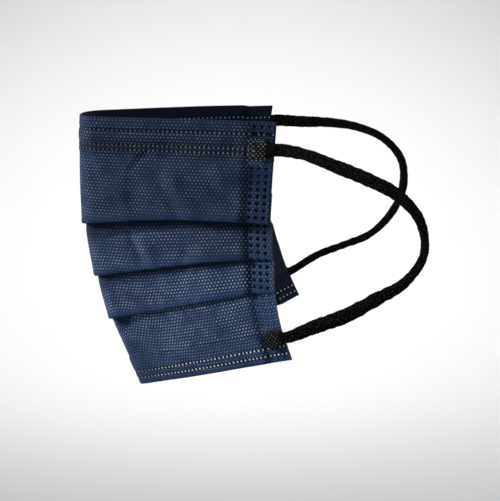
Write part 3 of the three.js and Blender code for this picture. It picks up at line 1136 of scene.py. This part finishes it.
@dataclass(frozen=True)
class PressedFinish:
    """Black elastic that is pressed flat and melted at small points in a diagonal net, with a painted glint on
    the melted points.
    """

    name: str
    base: Colour
    worn: Colour
    # The pale tone painted on the melted points as their glint.
    melted: Colour
    welded: float

    def make(self, effects: Effects) -> Material:
        """Return the material, which reads the map named knit."""
        material, s, surface = new_material(self.name)
        place = s.uv_millimetres("knit", PAD_UV_SPAN)
        x, y = s.split(place)
        points = s.use(effects.bonds, Place=place, **PAD_NET)
        fuzz = s.cloud(place, 5.0, 3, 0.7)
        ribs = s.math("PINGPONG", s.times(y, 1.6), 0.5)
        pressed = s.step(x, self.welded + 0.4, self.welded - 0.2)
        # Painted glint: the melted points of the pressed part are tinted pale.
        glint = s.times(points["Dot"], pressed, s.step(points["Chance"], 0.0, 0.8, 0.25, 1.0))
        worn = s.tint(s.step(fuzz, 0.4, 0.75), self.base, self.worn)
        s.feed(surface.inputs["Base Color"], s.tint(s.times(glint, 0.9), worn, self.melted))
        s.feed(surface.inputs["Roughness"], s.minus(0.8, s.times(pressed, 0.2)))
        surface.inputs["Specular IOR Level"].default_value = 0.04
        height = s.plus(s.times(fuzz, 0.5), s.times(points["Dot"], -0.8), s.times(ribs, 0.5))
        s.bump(surface, height, 0.7, 0.2 * MM)
        return material


OUTER_CLOTH = ClothFinish(
    "outer cloth",
    base=(0.0092, 0.0285, 0.083, 1),
    light=(0.0155, 0.043, 0.11, 1),
    deep=(0.001, 0.005, 0.022, 1),
    bond=(0.4, 0.43, 0.47, 1),
    upper_bond_in_shade=(0.36, 0.33, 0.34, 1),
    cut_edge=(0.085, 0.06, 0.06, 1),
    film=(0.66, 0.76, 0.95, 1),
    low_film=(0.8, 0.84, 0.92, 1),
    pit_and_shade=(0.0008, 0.0012, 0.003, 1),
    pit_strength=1.0,
    bond_strength=0.8,
    film_shade_near_nose=0.35,
    top_film=0.42,
    bump=0.6,
    sheen=0.02,
)
INNER_CLOTH = ClothFinish(
    "inner cloth",
    base=(0.007, 0.013, 0.029, 1),
    light=(0.0105, 0.0185, 0.04, 1),
    deep=(0.001, 0.003, 0.01, 1),
    bond=(0.025, 0.035, 0.06, 1),
    upper_bond_in_shade=(0.025, 0.035, 0.06, 1),
    cut_edge=(0.03, 0.03, 0.04, 1),
    film=(0.23, 0.48, 0.92, 1),
    low_film=(0.42, 0.52, 0.68, 1),
    pit_and_shade=(0.0008, 0.001, 0.002, 1),
    pit_strength=0.25,
    bond_strength=0.35,
    film_shade_near_nose=0.5,
    top_film=1.0,
    bump=0.4,
    sheen=0.01,
)
FREE_ELASTIC = ElasticFinish(
    "free elastic",
    base=(0.0009, 0.0009, 0.0009, 1),
    worn=(0.042, 0.0412, 0.0395, 1),
    groove=(0.0006, 0.0006, 0.0006, 1),
    roughness=0.9,
    stitches_along=160,
    stitches_around=14,
)
PRESSED_ELASTIC = PressedFinish(
    "pressed elastic",
    base=(0.0005, 0.0005, 0.0005, 1),
    worn=(0.007, 0.0069, 0.0066, 1),
    melted=(0.27, 0.26, 0.24, 1),
    welded=5.5,
)
POINTED_ELASTIC = PressedFinish(
    "pointed elastic end",
    base=(0.0005, 0.0005, 0.0005, 1),
    worn=(0.004, 0.0039, 0.0037, 1),
    melted=(0.085, 0.082, 0.075, 1),
    welded=9.5,
)


def finish_mesh(bm: Mesh, name: str, materials: list[Material], sharp: float) -> Piece:
    """Turn a bmesh into an object in the scene.

    Args:
        bm: the mesh, which is freed.
        name: the object's name.
        materials: its material slots in order.
        sharp: the angle in degrees past which an edge is sharp.

    Returns:
        The object, at the origin.
    """
    mesh = bpy.data.meshes.new(name)
    for face in bm.faces:
        face.smooth = True
    bm.to_mesh(mesh)
    bm.free()
    mesh.set_sharp_from_angle(angle=math.radians(sharp))
    for material in materials:
        mesh.materials.append(material)
    made = bpy.data.objects.new(name, mesh)
    bpy.context.scene.collection.objects.link(made)
    log.info("%s: %d faces", name, len(mesh.polygons))
    return made


def flat_slab(columns: int, rows: int) -> Mesh:
    """Return a flat two-sided slab from -1 to 1 in x and in y, with its outer side at the higher z."""
    bm = bmesh.new()
    bmesh.ops.create_grid(bm, x_segments=columns, y_segments=rows, size=1)
    bmesh.ops.solidify(bm, geom=bm.faces[:], thickness=0.01)
    bm.normal_update()
    return bm


def outer_level(bm: Mesh) -> float:
    """Return the height half way between the two sides of a flat slab."""
    heights = [vert.co.z for vert in bm.verts]
    return (min(heights) + max(heights)) / 2


def face_outwards(bm: Mesh) -> None:
    """Turn a closed mesh right side out, if its volume comes out negative."""
    if bm.calc_volume(signed=True) < 0:
        bmesh.ops.reverse_faces(bm, faces=bm.faces[:])


@dataclass
class PleatedCloth:
    """The body of the mask: one sheet of layered cloth, folded into three pleats."""

    form: FoldedForm
    name: str = "body_cloth"
    columns: int = 140
    flat: tuple[float, float] = (0.177, 0.19)

    def refine(self, bm: Mesh, level: float) -> None:
        """Cut the outer side finer where it is welded.

        Args:
            bm: the flat slab.
            level: the height half way between its sides.
        """
        rows = self.form.row_starts[-1]
        welds = self.form.welds
        edges = set()
        for face in bm.faces:
            centre = face.calc_center_median()
            if centre.z < level or abs(face.normal.z) < 0.5:
                continue
            row = (centre.y + 1) / 2 * rows
            spot = self.form.spot(centre.x, row)
            if spot.ply is not Ply.FACE:
                continue
            near = (1 - abs(centre.x)) * HALF_WIDTH < welds.band + 0.6 * MM
            lines = [*welds.top_rows, *(welds.span - fall for fall in welds.bottom_rows)]
            welded = any(abs(spot.down_folded - line) < 1.35 * MM for line in lines)
            if near or welded:
                edges.update(face.edges)
        bmesh.ops.subdivide_edges(bm, edges=list(edges), cuts=2, use_grid_fill=True)

    def build(self, outer: Material, inner: Material) -> Piece:
        """Fold the flat cut.

        Args:
            outer: the finish of the outer face.
            inner: the finish of the inner face.

        Returns:
            The body of the mask.
        """
        rows = self.form.row_starts[-1]
        bm = flat_slab(self.columns, rows)
        level = outer_level(bm)
        self.refine(bm, level)
        for face in bm.faces:
            centre = face.calc_center_median()
            face.material_index = 1 if centre.z < level and abs(face.normal.z) > 0.5 else 0
        fold_slab(bm, level, self.form.ply, lambda x, y: self.form.spot(x, (y + 1) / 2 * rows))
        return finish_mesh(bm, self.name, [outer, inner], 62)


def fold_slab(bm: Mesh, level: float, thickness: float, place: Callable[[float, float], Spot]) -> None:
    """Move each vertex of a flat slab to its folded place and give the slab its three maps.

    Args:
        bm: the flat slab.
        level: the height half way between its sides.
        thickness: the thickness of the cloth in metres.
        place: a function from the flat x and y to a Spot.
    """
    cloth_map = bm.loops.layers.uv.new("cloth")
    weld_map = bm.loops.layers.uv.new("weld")
    zone_map = bm.loops.layers.uv.new("zone")
    bm.verts.index_update()
    spots = []
    for vert in bm.verts:
        spot = place(max(-1.0, min(1.0, vert.co.x)), vert.co.y)
        spots.append(spot)
        side = 0.5 if vert.co.z > level else -0.5
        vert.co = spot.at + spot.facing * (thickness * side)
    for face in bm.faces:
        for loop in face.loops:
            spot = spots[loop.vert.index]
            loop[cloth_map].uv = (0.5 + spot.across / UV_SPAN, spot.down_cloth / UV_SPAN)
            loop[weld_map].uv = (0.5 + spot.across / UV_SPAN, spot.down_folded / UV_SPAN)
            below = min(1.0, max(0.0, spot.below_fold) / ZONE_SPAN)
            above = min(1.0, spot.above_fold / ZONE_SPAN)
            loop[zone_map].uv = ((spot.panel + 0.96 * below + 0.02) / len(PANELS), above)
    face_outwards(bm)


@dataclass
class TurnedHem:
    """The cloth turned in over the top or the bottom edge, with a leaf on the inner face."""

    form: FoldedForm
    name: str
    panel: int
    leaf: float
    thickness: float = 0.4 * MM
    columns: int = 130
    turn_rows: int = 6
    leaf_rows: int = 15

    def spot(self, share: float, row: float) -> Spot:
        """Fold one point of the flat hem.

        Args:
            share: the place across the cloth, from -1 to 1.
            row: the place down the hem, in rows from its outer side.

        Returns:
            The spot in the middle of the hem's ply.
        """
        station = self.form.station(share)
        panel_frame = station.frames[self.panel]
        outer = self.thickness / 2
        inner = self.form.ply + 0.08 * MM + self.thickness / 2
        radius = (inner - outer) / 2
        centre = radius + self.thickness / 2
        if row <= self.turn_rows:
            angle = math.pi * row / self.turn_rows
            run = centre - radius * math.sin(angle)
            depth = outer + radius * (1 - math.cos(angle))
        else:
            angle = math.pi
            run = mix(centre, self.leaf, (row - self.turn_rows) / self.leaf_rows)
            depth = inner
        top = self.panel == TOP_PANEL
        towards_edge = -panel_frame.down if top else panel_frame.down
        facing = panel_frame.out * math.cos(angle) + towards_edge * math.sin(angle)
        across = station.share * HALF_WIDTH
        folded = run if top else CENTRE_HEIGHT - run
        welds = self.form.welds
        whole = run if top else self.form.continuous_start(station, self.panel) + panel_frame.length - run
        lift = welds.relief(across, folded) + self.form.softness.waves(across, whole)
        lift += self.form.softness.belly(self.panel, across) - welds.plain_lift
        place = panel_frame.place(run if top else panel_frame.length - run, depth)
        at = place + panel_frame.out * lift
        return Spot(at, facing, folded, folded, across, Ply.FACE, self.panel)

    def build(self, outer: Material, inner: Material) -> Piece:
        """Return the hem, with the outer finish on its turn and the inner finish on its leaf."""
        rows = self.turn_rows + self.leaf_rows
        bm = flat_slab(self.columns, rows)
        level = outer_level(bm)
        for face in bm.faces:
            row = (face.calc_center_median().y + 1) / 2 * rows
            face.material_index = 0 if row < self.turn_rows * 0.6 else 1
        fold_slab(bm, level, self.thickness, lambda x, y: self.spot(x, (y + 1) / 2 * rows))
        return finish_mesh(bm, self.name, [outer, inner], 62)


@dataclass(frozen=True)
class PadSeat:
    """Where a pressed end of elastic lies on the cloth."""

    under: Vector
    along: Vector
    across: Vector
    out: Vector


class PadOutline(Enum):
    """The outlines of the pressed ends: reach above and below the middle line, by share of the length."""

    BLUNT = (
        ((0, 0.44), (0.03, 0.5), (0.5, 0.52), (0.62, 0.5), (1, 0.42)),
        ((0, 0.6), (0.03, 0.66), (0.5, 0.66), (0.62, 0.6), (1, 0.42)),
    )
    POINTED = (
        ((0, 0.05), (0.1, 0.17), (0.32, 0.46), (0.4, 0.51), (0.78, 0.48), (0.9, 0.42), (1, 0.3)),
        ((0, 0.05), (0.1, 0.17), (0.32, 0.5), (0.39, 0.57), (0.46, 0.56), (0.86, 0.34), (1, 0.3)),
    )


@dataclass
class LoopPad:
    """A pressed end of elastic, welded flat on the outer face beside the side edge."""

    form: FoldedForm
    name: str
    node: str
    panel: int
    side: int
    fall: float
    length: float
    width: float
    outline: PadOutline
    thickness: float = 1.15 * MM
    overhang: float = 0.9 * MM
    welded: float = 0.62
    emboss: float = 0.15 * MM

    def seat(self) -> PadSeat:
        """Return the seat, found as the plain solid's seat is."""
        line = PANELS[self.panel].lower
        per_share = (line.point(self.side) - line.point(self.side * (1 - NUDGE))).length / NUDGE
        share = self.side * (1 - (self.length / 2 - self.overhang) / per_share)
        under = self.on_cloth(share)
        out = self.form.panel_frame(self.panel, share).out
        along = self.on_cloth(self.side) - under
        along = (along - out * along.dot(out)).normalized()
        return PadSeat(under, along, out.cross(along), out)

    def on_cloth(self, share: float) -> Vector:
        """Return the point on the outer face at the pad's height."""
        panel_frame = self.form.panel_frame(self.panel, share)
        run = self.fall if self.panel == TOP_PANEL else panel_frame.length - self.fall
        return panel_frame.place(run, 0.35 * MM)

    def half_width(self, t: float, above: bool) -> float:
        """Find how far the pad reaches to one side of its middle line.

        Args:
            t: the share of its length, from its tip to where the elastic leaves.
            above: whether the upper or the lower side is asked for.

        Returns:
            The reach in metres.
        """
        return between(self.outline.value[0 if above else 1], t) * self.width

    def build(self, finish: Material) -> Piece:
        """Return the pad, pressed into small raised lozenges over its welded part."""
        seat = self.seat()
        bm = flat_slab(96, 64)
        level = outer_level(bm)
        knit = bm.loops.layers.uv.new("knit")
        for face in bm.faces:
            for loop in face.loops:
                t = (loop.vert.co.x + 1) / 2
                reach = self.half_width(t, loop.vert.co.y > 0)
                off = loop.vert.co.y * reach / PAD_UV_SPAN
                loop[knit].uv = (0.5 + (t - 0.5) * self.length / PAD_UV_SPAN, 0.5 + off)
        for vert in bm.verts:
            t = (vert.co.x + 1) / 2
            c = vert.co.y
            along = (t - 0.5) * self.length
            across = c * self.half_width(t, c * self.side > 0)
            edge = 1 - abs(c) ** 3
            tip = ease(0, 0.1, t)
            swell = mix(0.7, 1.25, ease(self.welded, 1, t))
            if vert.co.z > level:
                height = self.thickness * swell * mix(0.35, 1, edge) * mix(0.45, 1, tip)
                first = (along + across) / (1.7 * MM)
                second = (along - across) / (1.7 * MM)
                lozenge = math.cos(math.pi * first) ** 2 * math.cos(math.pi * second) ** 2
                pressed = (1 - ease(self.welded - 0.08, self.welded + 0.04, t)) * edge
                height += self.emboss * pressed * (lozenge * 1.5 - 0.75)
            else:
                height = -0.25 * MM * edge
            vert.co = seat.under + seat.along * along + seat.across * across + seat.out * height
        face_outwards(bm)
        return finish_mesh(bm, self.name, [finish], 70)


@dataclass
class EarLoop:
    """One knitted ear loop, from its upper pad round behind the ear to its lower pad."""

    name: str
    node: str
    upper: LoopPad
    lower: LoopPad
    route: tuple[Triple, ...]
    twist: float
    widths: Pairs
    thickness: float = 2.5 * MM
    around: int = 56
    along: int = 600
    stitch: float = 1.25 * MM
    wales: int = 14
    relief: float = 0.2 * MM
    wobble: float = 0.6 * MM

    def ends(self, pad: LoopPad) -> list[Vector]:
        """Return the two points on the elastic's way out of a pad, and the one inside it."""
        seat = pad.seat()
        middle = seat.under + seat.out * (0.45 * MM)
        half = pad.length / 2
        return [middle + seat.along * (half + gap) for gap in (-1.6 * MM, 0.3 * MM, 3 * MM)]

    def path(self) -> list[Vector]:
        """Return the points that the middle of the elastic runs through."""
        middle = [Vector(point) * MM for point in self.route]
        return [*self.ends(self.upper), *middle, *reversed(self.ends(self.lower))]

    def sampled(self) -> list[Vector]:
        """Return evenly spaced points on the smooth curve through the path."""
        fine = smooth_curve(self.path(), 24)
        lengths = [0.0]
        for a, b in zip(fine, fine[1:]):
            lengths.append(lengths[-1] + (b - a).length)
        points = []
        index = 0
        for step in range(self.along + 1):
            target = lengths[-1] * step / self.along
            while index < len(fine) - 2 and lengths[index + 1] < target:
                index += 1
            t = (target - lengths[index]) / (lengths[index + 1] - lengths[index])
            points.append(fine[index].lerp(fine[index + 1], t))
        return points

    def build(self, finish: Material) -> tuple[Piece, list[Vector]]:
        """Sweep the knitted oval along its route.

        Args:
            finish: the elastic's material.

        Returns:
            The loop and the points that it follows.
        """
        points = self.sampled()
        length = sum((b - a).length for a, b in zip(points, points[1:]))
        first = self.upper.seat().out
        last = self.lower.seat().out
        bm = bmesh.new()
        knit = bm.loops.layers.uv.new("knit")
        bmesh.ops.create_grid(bm, x_segments=self.around, y_segments=self.along, size=1, calc_uvs=True)
        frames = []
        for index, point in enumerate(points):
            t = index / self.along
            ahead = points[min(index + 1, self.along)] - points[max(index - 1, 0)]
            tangent = ahead.normalized()
            flat = first.lerp(last, ease(0, 1, t))
            flat = (flat - tangent * flat.dot(tangent)).normalized()
            turn = self.twist * ease(0.04, 0.4, t) * (1 - ease(0.62, 0.99, t))
            flat.rotate(Matrix.Rotation(turn, 3, tangent))
            frames.append((point, tangent.cross(flat).normalized(), flat))
        for vert in bm.verts:
            turn_share = (vert.co.x + 1) / 2
            index = round((vert.co.y + 1) / 2 * self.along)
            point, wide, flat = frames[index]
            run = index / self.along * length
            near_end = min(run, length - run)
            open_share = ease(1 * MM, 13 * MM, near_end)
            width = between(self.widths, index / self.along) * MM
            width += self.wobble * noise.noise(Vector((run * 480, self.twist, 2.7))) * open_share
            thick = mix(1.5 * MM, self.thickness, open_share)
            angle = 2 * math.pi * turn_share
            wale = (turn_share * self.wales) % 1
            rib = 0.5 - 0.5 * math.cos(2 * math.pi * wale)
            slant = abs(wale - 0.5)
            loop_ = 0.5 + 0.5 * math.cos(2 * math.pi * (run / self.stitch + slant))
            lift = self.relief * (rib * 0.6 + rib * loop_ * 0.6 - 0.5)
            x = (width / 2 + lift) * math.copysign(abs(math.cos(angle)) ** 0.86, math.cos(angle))
            y = (thick / 2 + lift) * math.copysign(abs(math.sin(angle)) ** 0.86, math.sin(angle))
            vert.co = point + wide * x + flat * y
        bmesh.ops.remove_doubles(bm, verts=bm.verts[:], dist=0.000002)
        bmesh.ops.holes_fill(bm, edges=[edge for edge in bm.edges if edge.is_boundary], sides=0)
        bmesh.ops.recalc_face_normals(bm, faces=bm.faces[:])
        face_outwards(bm)
        log.info("%s: %.1f mm of elastic", self.name, length / MM)
        return finish_mesh(bm, self.name, [finish], 80), points


def smooth_curve(points: list[Vector], steps: int) -> list[Vector]:
    """Lay a smooth curve through points.

    Args:
        points: the points that it passes through.
        steps: how many short pieces each span gets.

    Returns:
        The points along the curve.
    """
    padded = [points[0] * 2 - points[1], *points, points[-1] * 2 - points[-2]]
    made = []
    for p0, p1, p2, p3 in zip(padded, padded[1:], padded[2:], padded[3:]):
        knots = [0.0]
        for a, b in ((p0, p1), (p1, p2), (p2, p3)):
            knots.append(knots[-1] + max(1e-6, (b - a).length ** 0.5))
        t0, t1, t2, t3 = knots
        for step in range(steps):
            t = mix(t1, t2, step / steps)
            a1 = p0 * ((t1 - t) / (t1 - t0)) + p1 * ((t - t0) / (t1 - t0))
            a2 = p1 * ((t2 - t) / (t2 - t1)) + p2 * ((t - t1) / (t2 - t1))
            a3 = p2 * ((t3 - t) / (t3 - t2)) + p3 * ((t - t2) / (t3 - t2))
            b1 = a1 * ((t2 - t) / (t2 - t0)) + a2 * ((t - t0) / (t2 - t0))
            b2 = a2 * ((t3 - t) / (t3 - t1)) + a3 * ((t - t1) / (t3 - t1))
            made.append(b1 * ((t2 - t) / (t2 - t1)) + b2 * ((t - t1) / (t2 - t1)))
    made.append(points[-1])
    return made


LEFT_ROUTE = (
    (33.4, 94, -10.4),
    (39.7, 106.4, -14),
    (45.5, 118.4, -17.8),
    (49.5, 129.6, -23),
    (52.5, 138, -32),
    (54.4, 139.8, -45),
    (55, 132.7, -56),
    (54.3, 122, -63),
    (53, 110.7, -70),
    (50.8, 98.5, -75.5),
)
RIGHT_ROUTE = (
    (-33.6, 92, -7.4),
    (-40.4, 104.4, -8.8),
    (-46.3, 116.8, -11.7),
    (-50.5, 128.5, -17.5),
    (-53.4, 136.8, -27.8),
    (-55, 137.6, -41.7),
    (-55.2, 132.2, -53.6),
    (-54.2, 123, -62.6),
    (-52, 111, -67.3),
    (-50.7, 99.2, -71.8),
)


LEFT_WIDTHS = (
    (0, 5.2), (0.1, 4.6), (0.22, 5.3), (0.34, 5.2), (0.42, 4.2), (0.5, 3.3), (0.56, 3.1), (0.62, 3.7),
    (0.7, 5.0), (0.8, 5.8), (0.9, 5.6), (0.96, 4.7), (1, 4.2),
)
RIGHT_WIDTHS = (
    (0, 5.2), (0.12, 4.9), (0.24, 4.6), (0.36, 4.0), (0.5, 3.6), (0.62, 3.4), (0.74, 3.2), (0.86, 3.1),
    (0.94, 3.4), (1, 3.9),
)


@dataclass
class EarSide:
    """The elastic of one side: two pads and the loop between them."""

    form: FoldedForm
    hand: str
    side: int
    drop: float
    rise: float
    route: tuple[Triple, ...]
    twist: float
    widths: Pairs

    def build(self, pressed: Material, pointed: Material, free: Material) -> None:
        """Args:
            pressed: the finish of the upper pad.
            pointed: the finish of the lower pad.
            free: the finish of the loop.
        """
        upper = LoopPad(
            self.form, f"upper_pad_{self.hand}", f"upper_loop_pad_{self.hand}", TOP_PANEL, self.side,
            self.drop, 9.3 * MM, 6 * MM, PadOutline.BLUNT,
        )
        lower = LoopPad(
            self.form, f"lower_pad_{self.hand}", f"lower_loop_pad_{self.hand}", BOTTOM_PANEL, self.side,
            self.rise, 11.5 * MM, 7.4 * MM, PadOutline.POINTED, welded=0.95,
        )
        for pad, finish in ((upper, pressed), (lower, pointed)):
            made = pad.build(finish)
            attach(made, "root")
            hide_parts(pad.node)
        loop = EarLoop(
            f"loop_{self.hand}", f"ear_loop_{self.hand}", upper, lower, self.route, self.twist, self.widths
        )
        made, points = loop.build(free)
        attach(made, "root")
        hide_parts(loop.node)


SENSOR = 36
FOCAL_PIXELS = 1388.89
LONG_SIDE_PIXELS = 501


def hang(name: str, data: bpy.types.ID, at: Triple, aim: Triple) -> Piece:
    """Put a light or a camera at a place and turn it towards another."""
    made = bpy.data.objects.new(name, data)
    bpy.context.scene.collection.objects.link(made)
    made.location = at
    made.rotation_euler = (Vector(aim) - Vector(at)).to_track_quat("-Z", "Y").to_euler()
    return made


@dataclass
class Stage:
    """A pale paper sweep under and round the mask, with soft light."""

    floor: float = -0.34
    flat_radius: float = 0.75
    bend: float = 0.55
    height: float = 1.1
    bend_steps: int = 12

    def build(self) -> None:
        """Make the sweep."""
        bm = bmesh.new()
        corners = [(0.0, self.floor), (self.flat_radius, self.floor)]
        for step in range(1, self.bend_steps + 1):
            angle = math.pi / 2 * step / self.bend_steps
            x = self.flat_radius + self.bend * math.sin(angle)
            corners.append((x, self.floor + self.bend * (1 - math.cos(angle))))
        corners.append((self.flat_radius + self.bend, self.floor + self.bend + self.height))
        profile = [bm.verts.new((x, 0.0, z)) for x, z in corners]
        edges = [bm.edges.new(pair) for pair in zip(profile, profile[1:])]
        bmesh.ops.spin(
            bm, geom=[*profile, *edges], cent=(0, 0, 0), axis=(0, 0, 1), angle=2 * math.pi, steps=72,
            use_merge=True,
        )
        bmesh.ops.remove_doubles(bm, verts=bm.verts[:], dist=0.00001)
        bmesh.ops.recalc_face_normals(bm, faces=bm.faces[:])
        if sum(face.normal.z * face.calc_area() for face in bm.faces) < 0:
            bmesh.ops.reverse_faces(bm, faces=bm.faces[:])
        finish_mesh(bm, "paper_sweep", [PaperFinish().make()], 60)

    def light(self) -> None:
        """Hang the soft lights and set the pale surroundings."""
        world = bpy.data.worlds.new("studio")
        bpy.context.scene.world = world
        world.use_nodes = True
        background = world.node_tree.nodes["Background"]
        background.inputs["Color"].default_value = (1, 1, 1, 1)
        background.inputs["Strength"].default_value = 0.15
        bpy.context.scene.view_settings.view_transform = "Standard"
        self.spotlight("key", (-0.05, -0.82, 0.27), (0.01, 0.06, -0.06), 25, 54, 0.1)
        self.softbox("overhead", (0.05, 0.1, 1.1), 0.7, 3.0)
        self.softbox("fill", (1.0, -0.1, 0.3), 0.8, 1.2)
        self.softbox("rear fill", (-0.1, 1.1, 0.45), 0.6, 4.0)
        self.spotlight("backlight", (-0.2, 0.02, 0.95), (-0.94, -0.01, -0.34), 52.5, 65, 0.15)
        self.spotlight("rear pool", (0.0, 0.25, 0.95), (0.1, 1.0, -0.34), 46, 42, 0.15)
        self.spotlight("front pool", (0.0, -0.15, 0.95), (0.1, -0.9, -0.34), 46, 42, 0.15)

    def softbox(self, name: str, at: Triple, size: float, power: float) -> None:
        """Hang one square light that faces the mask."""
        lamp = bpy.data.lights.new(name, "AREA")
        lamp.size = size
        lamp.energy = power
        hang(name, lamp, at, (0, 0.06, -0.06))

    def spotlight(
        self, name: str, at: Triple, aim: Triple, cone: float, power: float, radius: float
    ) -> None:
        """Hang a light with a soft round pool.

        Args:
            name: the light's name.
            at: where it hangs.
            aim: where it points.
            cone: the whole angle of its cone in degrees.
            power: its power in watts.
            radius: the radius of its soft source.
        """
        lamp = bpy.data.lights.new(name, "SPOT")
        lamp.energy = power
        lamp.spot_size = math.radians(cone)
        lamp.spot_blend = 1
        lamp.shadow_soft_size = radius
        hang(name, lamp, at, aim)


def add_camera() -> None:
    """Place the camera at the photograph's angle."""
    lens = bpy.data.cameras.new("camera")
    lens.sensor_width = SENSOR
    lens.sensor_fit = "AUTO"
    lens.lens = FOCAL_PIXELS * SENSOR / LONG_SIDE_PIXELS
    lens.clip_start = 0.01
    at = (0.571297, 0.099541, 0.083963)
    bpy.context.scene.camera = hang("camera", lens, at, (0, 0.0706, -0.0576))


def main() -> None:
    """Build the mask piece by piece, then the stage, the light and the camera."""
    logging.basicConfig(level=logging.INFO, format="%(name)s: %(message)s")
    add_camera()
    form = FoldedForm()
    effects = Effects()
    outer = OUTER_CLOTH.make(effects)
    inner = INNER_CLOTH.make(effects)
    free = FREE_ELASTIC.make()
    pressed = PRESSED_ELASTIC.make(effects)
    pointed = POINTED_ELASTIC.make(effects)
    sides = (
        EarSide(form, "left", 1, 11.2 * MM, 9.3 * MM, LEFT_ROUTE, 0.0, LEFT_WIDTHS),
        EarSide(form, "right", -1, 7.7 * MM, 11.6 * MM, RIGHT_ROUTE, math.radians(50), RIGHT_WIDTHS),
    )
    for side in sides:
        side.build(pressed, pointed, free)
    body_plan = PleatedCloth(form)
    body = body_plan.build(outer, inner)
    hems = [
        TurnedHem(form, "hem_top", TOP_PANEL, 16 * MM, leaf_rows=15).build(outer, inner),
        TurnedHem(form, "hem_bottom", BOTTOM_PANEL, 11 * MM, leaf_rows=10).build(outer, inner),
    ]
    for piece, node in ((body, "pleated_body"), (hems[0], "top_hem"), (hems[1], "bottom_hem")):
        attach(piece, "root")
        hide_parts(node)
    stage = Stage()
    stage.build()
    stage.light()


if __name__ == "__main__":
    main()
